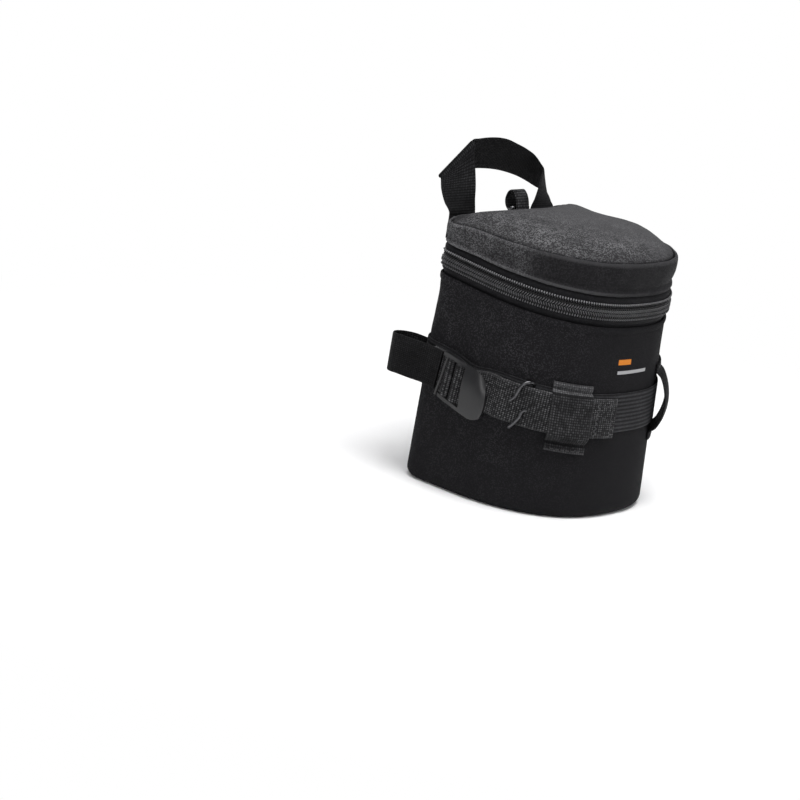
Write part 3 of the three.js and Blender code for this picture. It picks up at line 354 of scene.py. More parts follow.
def dressed(piece, material, slot, body, *replaced):
    """Gives a finished piece its material, its body and the CAD nodes it stands for; slot is not used."""
    piece.data.materials.clear()
    piece.data.materials.append(material)
    if body:
        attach(piece, body)
    if replaced:
        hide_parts(*replaced)


def body_painted_shade(u, v, shade):
    """Painted shade: the body cloth is darker low down and to the right, where it catches less light."""
    left = u.step(0.0, -0.09) * u.step(-0.16, -0.11)
    return shade * (v.step(-0.02, 0.10) * 0.55 + 0.45) * (left * 0.8 + 0.2)


def sewn_bars(u, v, colour):
    """Two plain bars of close satin stitch on the front, one orange and one light grey."""
    yarn = u.math("SINE", u * (math.pi / 0.00035)) * 0.2 + 0.8
    for low, high, left, right, tint in (
        (0.0850, 0.0880, -0.0112, -0.0020, (0.75, 0.25, 0.035, 1)),
        (0.0800, 0.0820, -0.0112, 0.0120, (0.45, 0.45, 0.46, 1)),
    ):
        inside = v.step(low, low + 0.0002) * v.step(high, high - 0.0002)
        inside = inside * u.step(left, left + 0.0002) * u.step(right, right - 0.0002)
        colour = (inside * yarn).tint(colour, tint)
    return colour


# cloth_light is the colour of the painted glints on the body cloth's grains; cloth_dark is the cloth's own
# black and the painted shade between them.
cloth_dark = (0.0068, 0.0066, 0.0076, 1)
cloth_light = (0.050, 0.049, 0.053, 1)
body_cloth = woven(
    "body_cloth", cloth_dark, cloth_light, 0.00056, 0.00052, 0.00008, glint_range=(0.45, 1.0), even=0.1,
    extra=body_painted_shade, over=sewn_bars,
)

turn = np.radians(np.linspace(0, 90, 7))
base_roll = [(base_radius * (1 - math.sin(t)), base_radius * (1 - math.cos(t))) for t in turn]
hem_roll = [(0, 97.2), (0.12, 98.0), (-0.35, 98.7), (-0.62, 99.6), (-0.66, 100.8), (-0.45, 101.6), (0.1, 102)]
wall_steps = [(0, level) for level in np.linspace(base_radius + 2, 96, 44)]
body_profile = np.array(base_roll + wall_steps + hem_roll)


def path_lengths(points):
    """The length along a path up to each of its points."""
    return np.concatenate(([0], np.cumsum(np.linalg.norm(np.diff(points, axis=0), axis=1))))


def along_wall(name, profile, runs, crease=0.0):
    """A sheet along the wall with a profile of insets and levels, set in further by a crease."""
    points = wall(runs[None, :], profile[:, 1:], profile[:, :1] + crease)
    return sheet(name, points, runs[None, :], path_lengths(profile)[:, None])


def wall_sheet(name, profile, runs):
    """A sheet along the wall that is drawn in a little at its two ends."""
    end = np.minimum(np.arange(len(runs)), np.arange(len(runs))[::-1])
    return along_wall(name, profile, runs, np.where(end == 0, 0.55, np.where(end == 1, 0.15, 0.0)))


def plied(piece, ply, even=True):
    """Gives a sheet its thickness in mm, inwards from its face."""
    applied(piece, "SOLIDIFY", thickness=ply * MM, offset=-1, use_even_offset=even)
    smooth(piece, 60)


def rumpled(piece, amount, size, low, high):
    """Small uneven folds, fading out below low and above high."""
    points = points_of(piece)
    normals = np.array([v.normal[:] for v in piece.data.vertices])
    for i, p in enumerate(points):
        fade = min(max((p[2] - low) / 0.01, 0), 1) * min(max((high - p[2]) / 0.006, 0), 1)
        points[i] += normals[i] * amount * fade * noise.noise(Vector(p) / size)
    move_points(piece, points)


def held(*bands):
    """How firmly seams hold the cloth: 1 from low to high in a band, fading to 0 over its soft edge."""
    return np.maximum.reduce([
        np.clip(np.minimum(value - low, high - value) / soft + 1, 0, 1) for value, low, high, soft in bands
    ])


wall_runs = np.concatenate((
    [-wrap_end, -wrap_end + 0.7],
    np.linspace(-wrap_end + 2, wrap_end - 2, 119),
    [wrap_end - 0.7, wrap_end],
))
body_wall = wall_sheet("Body_wall_cloth", body_profile, wall_runs)
height = points_of(body_wall)[:, 2] / MM
puffed(body_wall, held((height, -5, 5, 4), (height, 44, 72, 5), (height, 94, 130, 5)), 3.0, 0.0013)
rumpled(body_wall, 0.0007, 0.017, 0.070, 0.103)
plied(body_wall, cloth_ply)
dressed(body_wall, body_cloth, "outer_cloth", "body", "body_shell")

back_start = wrap_end + 0.3
back_runs = np.linspace(back_start, perimeter - back_start, 45)
back_cloth = wall_sheet("Back_panel_cloth", body_profile, back_runs)
x, _, height = points_of(back_cloth).T / MM
puffed(back_cloth, held((height, -5, 6, 4), (height, 96, 130, 5), (np.abs(x), 42, 60, 3)), 2.0, 0.0009)
plied(back_cloth, cloth_ply)
dressed(back_cloth, body_cloth, "outer_cloth", "body", "back_panel")


def runs_round(wrap_count, back_count):
    """Runs all the way round the pouch, from one back corner."""
    across_back = np.linspace(wrap_end, perimeter - wrap_end, back_count)
    return np.append(np.linspace(-wrap_end, wrap_end, wrap_count), across_back[1:])


def plan_disc(name, level, inset, crown, shares, thickness, offset, rise=None):
    """A disc of the plan's shape, crowned towards its middle, with its weave straight across it."""
    rim = wall(runs_round(96, 24), level, inset)
    middle = (wall(0, level, inset) + wall(perimeter / 2, level, inset)) / 2
    share = np.array(shares)[:, None, None]
    points = middle + (rim[None] - middle) * share
    if rise is None:
        points[..., 2] += crown * (1 - share[..., 0] ** 2.6)
    else:
        points[..., 2] += rise(points[..., 0], points[..., 1], share[..., 0])
    piece = sheet(name, points, points[..., 0], points[..., 1])
    edit(piece, (bpy.ops.mesh.remove_doubles, {"threshold": 1e-6}))
    applied(piece, "SOLIDIFY", thickness=thickness * MM, offset=offset)
    smooth(piece, 50)
    return piece


disc_shares = [1, 0.985, 0.95, 0.88, 0.78, 0.66, 0.52, 0.38, 0.24, 0.1, 0]
base_cloth = plan_disc("Base_panel_cloth", 0.0, base_radius + 0.2, 0.0, disc_shares, cloth_ply, 1)
dressed(base_cloth, body_cloth, "outer_cloth", "body", "base_panel")

# Padding and lining of the body: closed-cell foam in the wall, back and base, a thin board behind
# the back cloth, and a smooth nylon lining. A folded tape binds the raw edge of the mouth.
foam_low, foam_high = 5.3, 101.35
ring_runs = runs_round(90, 22)
wrap_runs = np.linspace(-wrap_end, wrap_end, 90)
flat_runs = np.linspace(back_start, perimeter - back_start, 22)


def closed_up(piece, merge, ends=True):
    """Merges the seam of a swept piece, caps its ends and turns its faces outwards."""
    edit(piece, (bpy.ops.mesh.remove_doubles, {"threshold": merge}))
    if ends:
        edit(
            piece,
            (bpy.ops.mesh.select_all, {"action": "DESELECT"}),
            (bpy.ops.mesh.select_non_manifold, {}),
            (bpy.ops.mesh.edge_face_add, {}),
        )
    edit(piece, (bpy.ops.mesh.normals_make_consistent, {"inside": False}))


def swept(name, profile, runs, closed=False):
    """A closed outline of insets and levels carried along the wall, its ends capped or joined."""
    piece = along_wall(name, np.array([*profile, profile[0]], float), runs)
    closed_up(piece, 1e-6, not closed)
    smooth(piece, 40)
    return piece


def slab(outer, inner, low, high, step=0.0):
    """The outline of a ply between two insets, with its top outer edge stepped in for a tape."""
    levels = np.linspace(low, high, 14)
    out = [(outer, level) for level in levels[:-1]] + [(outer + step, high)]
    return out + [(inner, level) for level in levels[::-1]]


def grained(
    name, roughness, specular, scale, detail, dark, light, depth,
    kind="ShaderNodeTexNoise", metallic=0.0, rough=None,
):
    """A fine grain between two colours; rough is how much it adds to a roughness, and that roughness."""
    material, wire, shader = shader_of(name, roughness, specular, metallic=metallic)
    grain = grain_of(wire, scale, detail, kind=kind)
    uneven = grain * rough[0] + rough[1] if rough else None
    finished(shader, grain.tint(dark, light), grain, depth, uneven)
    return material


foam = grained(
    "foam", 0.95, 0.2, 1400.0, 0.0, (0.05, 0.05, 0.053, 1), (0.10, 0.10, 0.105, 1), 0.0002,
    "ShaderNodeTexVoronoi",
)
board = grained("board", 0.6, 0.4, 700.0, 2.0, (0.02, 0.02, 0.021, 1), (0.04, 0.04, 0.042, 1), 0.00005)
lining_cloth = woven(
    "lining_cloth", (0.009, 0.009, 0.0105, 1), (0.035, 0.035, 0.039, 1), 0.0004, 0.0004, 0.00004, 0.6, 0.08
)
binding_tape = woven(
    "binding_tape", (0.010, 0.010, 0.0115, 1), (0.06, 0.06, 0.065, 1), 0.0008, 0.0005, 0.0001, 0.75
)
for piece, node in (
    (swept("Wall_foam", slab(1.15, 5.15, foam_low, foam_high, 0.65), wrap_runs), "wall_foam"),
    (swept("Back_foam", slab(2.3, 5.15, foam_low, foam_high), flat_runs), "back_foam"),
    (plan_disc("Base_foam", 1.15, 5.3, 0, [1, 0.6, 0.2, 0], 4, 1), "base_foam"),
):
    dressed(piece, foam, "foam", "body", node)
back_board = swept("Back_board", slab(1.15, 2.15, foam_low, 96.35), flat_runs)
dressed(back_board, board, "stiffener_board", "body", "back_stiffener")
wall_lining = swept("Wall_lining", slab(5.3, 5.9, 6.05, foam_high), ring_runs, True)
dressed(wall_lining, lining_cloth, "lining", "body", "wall_lining")
base_lining = plan_disc("Base_lining", foam_low, 5.3, 0, [1, 0.6, 0.2, 0], 0.6, 1)
dressed(base_lining, lining_cloth, "lining", "body", "base_lining")


def binding_outline(edge, away, reach=8.0):
    """The outline of the tape over a foam wall's edge, and down over its lining."""
    top = [(1.8, 0.15), (1.8, 0.5), (2.1, 0.65), (5.9, 0.68), (6.45, 0.5), (6.6, 0.1)]
    low = [(6.6, -reach + 0.2), (6.35, -reach), (6.05, -reach), (6.05, 0.15)]
    return [(inset, edge + away * rise) for inset, rise in top + low]


mouth_binding = swept("Mouth_binding", binding_outline(foam_high, 1), ring_runs, True)
dressed(mouth_binding, binding_tape, "webbing", "body", "mouth_binding")

# Zip: two woven tapes, each sewn under its hem, and a coil of nylon on the face of each.
# The coils' turns hook into one another along the middle, and a thread holds them to the tape.
zip_end = (corner_start + wrap_end) / 2
turn_pitch, tape_ply = 1.3, 0.5
zip_runs = np.linspace(-zip_end, zip_end, 121)
zip_tape = woven(
    "zip_tape", (0.0045, 0.0045, 0.0052, 1), (0.018, 0.018, 0.020, 1), 0.0009, 0.00045, 0.00006, 0.7
)


def zip_plastic_look():
    """Dark nylon with a painted highlight on the crests of its turns, uneven, and stronger at the left of the
    pouch.
    """
    material, wire, shader = shader_of("zip_coil", 0.30, 0.3)
    unevenness = grain_of(wire, 400.0)
    gleam = wire.node("ShaderNodeAttribute", {"attribute_name": "gleam"}, None, 2)
    colour = (gleam * (unevenness * 0.6 + 0.5)).tint((0.0035, 0.0035, 0.004, 1), (0.32, 0.32, 0.33, 1))
    finished(shader, colour, unevenness, 0.00004)
    return material


coil_plastic = zip_plastic_look()


def bead(radii, sides, rings):
    """One small rounded piece, as points and faces, to be copied along the zip."""
    bpy.ops.object.select_all(action="DESELECT")
    bpy.ops.mesh.primitive_uv_sphere_add(segments=sides, ring_count=rings, radius=1)
    ball = bpy.context.object
    points = points_of(ball)
    points = np.sign(points) * np.abs(points) ** 0.8 * radii
    faces = [list(face.vertices) for face in ball.data.polygons]
    bpy.data.objects.remove(ball)
    return points, faces


def repeated(name, shapes):
    """One mesh of many copies; shapes holds a bead, its frames in mm and how much painted highlight it gets.
    """
    points, faces, gleams, count = [], [], [], 0
    for (bead_points, bead_faces), places, axes, gleam in shapes:
        crest = 1 - (bead_points[:, 0] / bead_points[:, 0].max()) ** 2
        for place, axis, shine in zip(places, axes, gleam):
            points.append((bead_points @ axis + place) * MM)
            gleams += list(shine * crest)
            faces += [[i + count for i in face] for face in bead_faces]
            count += len(bead_points)
    mesh = bpy.data.meshes.new(name)
    mesh.from_pydata(np.vstack(points).tolist(), [], faces)
    mesh.attributes.new("gleam", "FLOAT", "POINT").data.foreach_set("value", gleams)
    piece = bpy.data.objects.new(name, mesh)
    bpy.context.scene.collection.objects.link(piece)
    only(piece)
    bpy.ops.object.shade_smooth()
    return piece


def frames_at(runs, level, inset):
    """Places and axes (along, out, up) at runs round the wall."""
    place = wall(runs, level, inset)
    ahead = wall(runs + 0.5, level, inset) - wall(runs - 0.5, level, inset)
    ahead /= np.linalg.norm(ahead, axis=1, keepdims=True)
    nx, ny = plan_at(runs)[2:]
    out = np.stack((nx, ny, 0 * nx), 1)
    up = np.cross(ahead, out)
    return place, np.stack((ahead, out, up * np.sign(up[:, 2:3])), 1)


def leaning(axes, degrees):
    """Axes turned on the face of the zip, as the coil's turns lean."""
    t = math.radians(degrees)
    ahead, out, up = axes[:, 0], axes[:, 1], axes[:, 2]
    return np.stack((ahead * math.cos(t) + up * math.sin(t), out, up * math.cos(t) - ahead * math.sin(t)), 1)


head_bead = bead((0.34, 0.50, 0.95), 8, 6)
bend_bead = bead((0.40, 0.45, 0.50), 8, 6)
leg_bead = bead((0.26, 0.40, 0.55), 6, 5)
thread_bead = bead((0.70, 0.24, 0.45), 6, 5)
for side, shift, tape_name, coil_name, body, hem in (
    (-1, 0.0, "lower_zip_tape", "lower_zip_coil", "body", hem_level),
    (1, 0.5, "upper_zip_tape", "upper_zip_coil", "lid", lid_hem_level),
):
    away = -side
    tape_profile = np.array([
        (1.15, hem - away * 5.5), (1.15, hem - away * 2), (1.1, hem), (0.75, hem + away * 0.9),
        (0.1, hem + away * 1.7), (-0.35, hem + away * 2.4), (-0.45, hem + away * 3.2),
        (-0.45, hem + away * 4.6), (-0.45, zip_level - away * 0.6),
    ])
    if side == 1:
        tape_profile = tape_profile[::-1]
    tape = along_wall(tape_name.capitalize(), tape_profile, zip_runs)
    plied(tape, tape_ply, False)
    dressed(tape, zip_tape, "webbing", body, tape_name)
    runs = np.arange(-zip_end + 1 + shift * turn_pitch, zip_end - 1, turn_pitch)
    turns = []
    bend_reach = 4.35 if side > 0 else 3.1
    # The gleam numbers are painted highlight: most on the upper coil's outer bends, which face the light,
    # less on the lower coil's, which face down into shade, and less further right.
    shine = np.interp(runs, (-20, 45), (1, 0.25))
    for shape, reach, inset, lean, gleam in (
        (head_bead, 0.9, -1.15, -32, 0.42), (leg_bead, bend_reach - 0.95, -0.8, 28, 0.15),
        (bend_bead, bend_reach, -1.1, 0, 1.0 if side > 0 else 0.45), (thread_bead, 2.1, -0.8, 0, 0.02),
    ):
        places, axes = frames_at(runs + (0.3 if shape is leg_bead else 0), zip_level + side * reach, inset)
        turns.append((shape, places, leaning(axes, lean * side), gleam * shine))
    coil = repeated(coil_name.capitalize(), turns)
    edit(coil, (bpy.ops.mesh.normals_make_consistent, {"inside": False}))
    dressed(coil, coil_plastic, "zip_coil", body, coil_name)

# Cloth hinge: the strip of body cloth across the back that the lid turns on. It fills the gap
# that the zip leaves, and is sewn under the hem of the body and under that of the lid.
hinge_start = zip_end + 0.3
hinge_runs = np.concatenate((
    np.linspace(hinge_start, wrap_end, 8), np.linspace(wrap_end, perimeter - wrap_end, 30)[1:],
    np.linspace(perimeter - wrap_end, perimeter - hinge_start, 8)[1:],
))
hinge_profile = np.array([
    (1.15, 96.5), (1.15, 99.5), (1.1, 102), (0.7, 103), (0.2, 104), (0, 105.5), (0, 107.5), (0, 109.5),
    (0, 111.5), (0, 113.5), (0, 115.2), (0.2, 116.6), (0.7, 117.6), (1.1, 118.6), (1.15, 121), (1.15, 124.1),
])
hinge = along_wall("Hinge_panel", hinge_profile, hinge_runs)
plied(hinge, tape_ply, False)
dressed(hinge, body_cloth, "outer_cloth", None, "hinge_panel")
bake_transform(hinge)

# Waist band: 20 mm ribbed webbing, sewn flat round the wall from back corner to back corner. It
# slopes down to the front, and sags a little where the buckle pulls at it.
half_webbing = 10.0
webbing_slope = 0.1
strap_height = 57.0
band_height = 58.8
sag, sag_run, sag_reach = 2.4, 88, 8.5


def strap_middle(run, height):
    """The true height of webbing's middle line at runs round the wall."""
    return height + webbing_slope * skin(run, height, 0)[0][..., 1]


def wall_row(runs, stand, height):
    """The low and high edges of webbing along the wall, square to its own slope, and its ways."""
    runs = np.asarray(runs, float)
    stand = np.broadcast_to(np.asarray(stand, float), runs.shape)
    z = strap_middle(runs, height)
    lean = -half_webbing * webbing_slope * skin(runs, z, stand)[2][..., 1]
    low = skin(runs - lean, z - half_webbing, stand)
    high = skin(runs + lean, z + half_webbing, stand)
    return [np.stack(pair, 1) for pair in zip(low, high)]


soft_edge = 0.42


def eased(rows, step):
    """Rows of points on a smooth curve through the given ones, about a step apart."""
    at = path_lengths(rows[:, :, :3].mean(1))
    slopes = np.gradient(rows, at, axis=0)
    out = [rows[:1]]
    for i, length in enumerate(np.diff(at)):
        count = max(math.ceil(length / step - 0.01), 1)
        f = (np.arange(1, count + 1) / count)[:, None, None]
        out.append(
            rows[i] * (2 * f**3 - 3 * f**2 + 1) + slopes[i] * length * (f**3 - 2 * f**2 + f)
            + rows[i + 1] * (3 * f**2 - 2 * f**3) + slopes[i + 1] * length * (f**3 - f**2)
        )
    return np.concatenate(out)


def webbing(name, points, outs, ply=1.0, step=1.2):
    """A closed webbing with soft edges. points and outs are rows across it, on its inner face."""
    rows = eased(np.concatenate((points, outs), 2), step)
    across = np.linalg.norm(points[0, -1] - points[0, 0])
    knots = np.linspace(0, 1, points.shape[1])
    flat = np.linspace(0.045, 0.955, 13)
    turns = np.linspace(0, math.pi, 7)[1:-1]
    reach = soft_edge / across * 2
    side = [(1 - reach * (1 - math.sin(t)), 0.5 - 0.5 * math.cos(t)) for t in turns]
    ring = [(f, 0.0) for f in flat] + side + [(f, 1.0) for f in flat[::-1]]
    ring += [(1 - f, 1 - t) for f, t in side]
    ring.append(ring[0])
    spots = []
    for share, level in ring:
        low = min(int(share * (len(knots) - 1)), len(knots) - 2)
        f = share * (len(knots) - 1) - low
        row = rows[:, low] * (1 - f) + rows[:, low + 1] * f
        out = row[:, 3:] / np.linalg.norm(row[:, 3:], axis=1, keepdims=True)
        spots.append(row[:, :3] + out * ply * level)
    along = path_lengths(rows[:, :, :3].mean(1))
    widths = np.array([(share - 0.5) * across for share, _ in ring])
    piece = sheet(name, np.array(spots), along[None, :], widths[:, None])
    closed_up(piece, 1e-7)
    smooth(piece, 50)
    return piece


def edge_highlight(u, v, shade):
    """Painted highlight: the outer yarns of webbing are lighter, as they catch more light."""
    edge = v.math("ABSOLUTE", v).step(0.0088, 0.0096)
    return shade * (1 - edge) + edge * (shade * 0.7 + 0.10)


def long_ribs(u, v, shade):
    """Ribs along the band."""
    wave = v.math("SINE", v * (2 * math.pi / 0.0020)) * 0.5 + 0.5
    return (shade * 0.4 + (shade * 0.4 + 0.6) * wave) * (u.step(-0.03, 0.03) * 0.5 + 0.5)


# The light colour of each webbing is painted glints on the crests of its grains; the strap's is the
# brightest, painted as the highlights of a shiny weave.
webbing_dark = (0.0035, 0.0035, 0.0040, 1)
strap_webbing = woven(
    "strap_webbing", webbing_dark, (0.17, 0.17, 0.175, 1), 0.0013, 0.00095, 0.0002, 0.6, glint_range=(0.0, 1.0),
    shift=0.0, extra=edge_highlight, relief=3.0,
)
dark_webbing = woven(
    "dark_webbing", (0.0009, 0.0009, 0.0011, 1), (0.028, 0.028, 0.030, 1), 0.0013, 0.00095, 0.0002, 0.7,
    glint_range=(0.0, 1.0), shift=0.0, even=0.45, extra=edge_highlight, relief=3.0,
)
band_webbing = woven(
    "band_webbing", webbing_dark, (0.042, 0.042, 0.045, 1), 0.0009, 0.0006, 0.00005, 0.7, glint_range=(0.2, 1.0),
    extra=long_ribs,
)
runs = np.linspace(-wrap_end + 0.3, wrap_end - 0.3, 100)
points, outs, _ = wall_row(runs, 0.3, band_height)
points[..., 2] -= sag * np.exp(-(((runs + sag_run) / sag_reach) ** 2))[:, None]
band = webbing("Waist_band", points, outs, 0.8)
dressed(band, band_webbing, "webbing", "body", "waist_band")

# Anchor webbing and adjusting strap, both 20 mm webbing. The anchor is sewn down at the back corner
# and holds the ladder lock's rear bar. The strap comes from under the gear tab, goes round the
# middle bar and back over itself; its free end, turned in and tacked, lies at the front.
anchor_bar_run, mid_bar_run = 99.0, 93.6
lever_tip_run, keeper_run, gear_tab_run = 74.5, 60.0, 36.0
load_stand, tail_stand, strap_lift, wrap_radius = 1.4, 2.55, 1.55, 1.5
lock_stand, lock_droop, lock_slant = 4.0, 0.165, 0.10


def eased_step(x):
    f = np.clip(x, 0, 1)
    return f * f * (3 - 2 * f)


def lift_at(run):
    """The keeper's wire lifts the strap between the buckle and the gear tab."""
    return strap_lift * (eased_step((lever_tip_run + 1 - run) / 6) - eased_step((46 - run) / 20))


def unit(v):
    return v / np.linalg.norm(v)


def by_strap(run, stand):
    """A point by the strap's middle line, and the ways out from it and forward along it."""
    return skin(-run, strap_middle(-run, strap_height), stand)


lock_back = by_strap(anchor_bar_run, lock_stand)[0]
lock_front = by_strap(lever_tip_run, lock_stand)[0]
lock_x = unit(lock_front - lock_back)
low_high = wall_row([-anchor_bar_run], lock_stand, strap_height)[0][0]
lock_z = unit(np.cross(lock_x, low_high[1] - low_high[0]))
lock_y = np.cross(lock_z, lock_x)
mid_point, mid_out, _ = by_strap(mid_bar_run, 0)
mid_stand = float((lock_back + lock_x * (anchor_bar_run - mid_bar_run) - mid_point) @ mid_out)


def straight(start, end, step, stand_of, way):
    """Places (run, stand, along, out) of flat webbing between two runs."""
    count = max(round(abs(end - start) / step), 1)
    return [(run, stand_of(run), 0.0, way) for run in np.linspace(start, end, count + 1)]


def fold_round(bar_run, bar_stand, side):
    """Places where the webbing goes round a bar."""
    turns = np.radians(np.linspace(-90, 90, 9))
    return [
        (bar_run + side * wrap_radius * math.cos(t), bar_stand + wrap_radius * math.sin(t),
         side * math.cos(t), math.sin(t))
        for t in turns
    ]


def settled(bar_run, bar_stand, side):
    """Places where the webbing comes down from a bar to its next layer."""
    drop = bar_stand + wrap_radius - tail_stand
    return [
        (bar_run - side * reach * wrap_radius, tail_stand + drop * (1 - share),
         side * -0.5 * math.sin(math.pi * share), 1.0)
        for reach, share in ((1.0, 0.3), (1.9, 0.85), (2.8, 1))
    ]


def droop_at(reach):
    """How far the webbing and the buckle hang down, from the anchor bar on along the buckle."""
    return lock_droop * np.clip(reach + 6, 0, 16) * (1 - eased_step((reach - 10) / 13))


def strap_through(name, places):
    """Webbing through the ladder lock's bars, drooping with it."""
    run, stand, along, out = (np.array(column) for column in zip(*places))
    points, outs, forward = wall_row(-run, stand, strap_height)
    points = points - droop_at(anchor_bar_run - run)[:, None, None] * lock_y
    return webbing(name, points, outs * out[:, None, None] - forward * along[:, None, None])


strap_places = (
    straight(31, mid_bar_run - wrap_radius * 2, 3, lambda run: load_stand + 1 + lift_at(run), -1.0)
    + fold_round(mid_bar_run, mid_stand, 1)
    + settled(mid_bar_run, mid_stand, 1)
    + straight(mid_bar_run - wrap_radius * 5.5, 11.6, 3, lambda run: tail_stand + lift_at(run), 1.0)
)
anchor_places = (
    straight(corner_start, anchor_bar_run + wrap_radius * 2, 3, lambda run: load_stand + 1, -1.0)
    + fold_round(anchor_bar_run, lock_stand, -1)
    + settled(anchor_bar_run, lock_stand, -1)
    + straight(anchor_bar_run + wrap_radius * 5.5, corner_start, 3, lambda run: tail_stand, 1.0)
)
anchor = strap_through("Anchor_webbing", anchor_places)
dressed(anchor, strap_webbing, "webbing", "body", "anchor_webbing")
strap = strap_through("Adjusting_strap", strap_places)
thread = grained(
    "thread", 0.45, 0.5, 2500.0, 2.0, (0.006, 0.006, 0.007, 1), (0.035, 0.035, 0.038, 1), 0.00008
)
stitch_bead = bead((1.15, 0.24, 0.26), 6, 5)


def sewn(piece, ends, outs):
    """Stitches joined to a piece, each from one point to the next, lying on the face."""
    ends, outs = np.asarray(ends, float), np.asarray(outs, float)
    way = ends[1:] - ends[:-1]
    length = np.linalg.norm(way, axis=1)
    keep = length > 0.2
    way, length = way[keep] / length[keep, None], length[keep]
    middle = ((ends[1:] + ends[:-1]) / 2)[keep]
    out = outs[:-1][keep]
    side = np.cross(way, out)
    stretch = np.clip(length / 2.3, 0.3, 2) * 0.86
    shape, faces = stitch_bead
    parts = [
        ((shape * (s, 1, 1), faces), [m], [np.stack((w, o, d))], [0])
        for m, w, o, d, s in zip(middle, way, out, side, stretch)
    ]
    stitches = repeated("stitches", parts)
    stitches.data.materials.append(thread)
    stitches.data.uv_layers.new(name=piece.data.uv_layers.active.name)
    piece.data.materials.append(thread)
    only(piece)
    stitches.select_set(True)
    bpy.ops.object.join()


def on_strap(run, offset, lift=1.0):
    """A point and its way out on the strap's face, offset across it."""
    points, outs, _ = wall_row([-run], tail_stand + lift_at(np.array([run])) + lift, strap_height)
    share = (offset + half_webbing) / (2 * half_webbing)
    return points[0, 0] * (1 - share) + points[0, 1] * share, unit(outs[0].mean(0))


dressed(strap, strap_webbing, "webbing", None, "adjust_strap")
tack = [on_strap(23 + 1.1 * (-1) ** k, offset) for k, offset in enumerate(np.linspace(-8.8, 8.8, 15))]
tack += [on_strap(14.4, offset) for offset in np.linspace(8.8, -8.8, 9)]
sewn(strap, [p for p, _ in tack], [o for _, o in tack])
bend_start, bend_end = (by_strap(run, tail_stand)[0] * MM for run in (82, 91))
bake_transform(strap)

# Belt loop: 20 mm webbing from the side of the pouch straight back, round and along the back panel,
# where it is sewn down. A belt or a strap goes through its eye.
loop_depth, loop_radius, loop_sewn, loop_droop, bend_radius = 18.5, 8.6, 24.0, 2.0, 2.5
belt_stand = tail_stand + 1.15
belt_rows = []
for run in np.linspace(anchor_bar_run + wrap_radius * 4.4, corner_start, 4):
    points, outs, _ = wall_row([-run], belt_stand, strap_height)
    belt_rows.append((points[0], outs[0]))
belt_x = skin(-corner_start, strap_height, belt_stand)[0][0]
turn_y = back_y + loop_depth - loop_radius
loop_middle = float(strap_middle(-corner_start, strap_height))
near = wall_row([-corner_start], 0, strap_height)[0][0]
near_lean = near[0, 0] - near[1, 0]


def belt_row(x, y, out_x, out_y, droop):
    """The low and high edges of the loop at a place, leaning less and lower as it droops."""
    lean = (1 - droop) * near_lean / 2
    z = loop_middle - loop_droop * droop
    points = np.array([(x + lean, y, z - half_webbing), (x - lean, y, z + half_webbing)])
    return points, np.array([(out_x, out_y, 0.0)] * 2)


belt_rows.append(belt_row(belt_x, back_y, -1, 0, 0))
for t in np.linspace(0, math.pi, 13):
    nx, ny = -math.cos(t), math.sin(t)
    x = belt_x + loop_radius + loop_radius * nx
    belt_rows.append(belt_row(x, turn_y + loop_radius * ny, nx, ny, t / math.pi))
far_x = belt_x + loop_radius * 2
for t in np.linspace(0, math.pi / 2, 5):
    x = far_x + bend_radius * (1 - math.cos(t))
    y = back_y + 0.3 + bend_radius * (1 - math.sin(t))
    belt_rows.append(belt_row(x, y, math.cos(t), math.sin(t), 1))
for reach in (0.5, 1):
    belt_rows.append(belt_row(far_x + bend_radius + loop_sewn * reach, back_y + 0.3, 0, 1, 1))
belt_loop = webbing("Belt_loop", np.array([r[0] for r in belt_rows]), np.array([r[1] for r in belt_rows]))
dressed(belt_loop, dark_webbing, "webbing", "body", "belt_loop")
box_x0, box_x1 = far_x + bend_radius + 4, far_x + bend_radius + loop_sewn - 2
box_z = loop_middle - loop_droop
corners = [(box_x0, -8), (box_x1, -8), (box_x1, 8), (box_x0, 8), (box_x0, -8), (box_x1, 8)]
path = []
for (x0, z0), (x1, z1) in zip(corners, corners[1:]):
    for f in np.linspace(0, 1, max(round(math.hypot(x1 - x0, z1 - z0) / 2.6), 1), endpoint=False):
        path.append((x0 + (x1 - x0) * f, back_y + 1.35, box_z + z0 + (z1 - z0) * f))
sewn(belt_loop, path, [(0, 1, 0)] * len(path))

# Gear tabs: two upright pieces of 20 mm webbing, sewn to the wall above and below the waist band.
# The left one is coarser and lies over the strap; the right one bulges off the wall as a loop.
def tab_ends_and_crease_shade(u, v, shade):
    """The left tab is lighter at both its turned ends, and painted shade darkens the creases beside them."""
    top = u.step(0.0322, 0.0330)
    crease = u.step(0.0306, 0.0314) * u.step(0.0330, 0.0322) + u.step(0.0052, 0.0046) * u.step(0.0034, 0.0040)
    hem = u.step(0.0014, 0.0006)
    return (edge_highlight(u, v, shade) * (top * 0.7 + 0.75) + top * 0.25) * (1 - crease * 0.8) + hem * 0.2


# tab_webbing's light colour is painted glints on the crests of its grains.
tab_webbing = woven(
    "tab_webbing", webbing_dark, (0.105, 0.105, 0.109, 1), 0.0013, 0.00115, 0.00028, 0.6, glint_range=(0.0, 1.0),
    shift=0.0, even=0.35, extra=tab_ends_and_crease_shade, relief=2.0,
)
tab_columns = np.linspace(-half_webbing, half_webbing, 9)


def tab_row(centre, level, stands):
    """A row across a tab, on the wall or off it, with its ways out."""
    runs = centre + tab_columns
    return skin(runs, strap_middle(runs, level), stands)[:2]


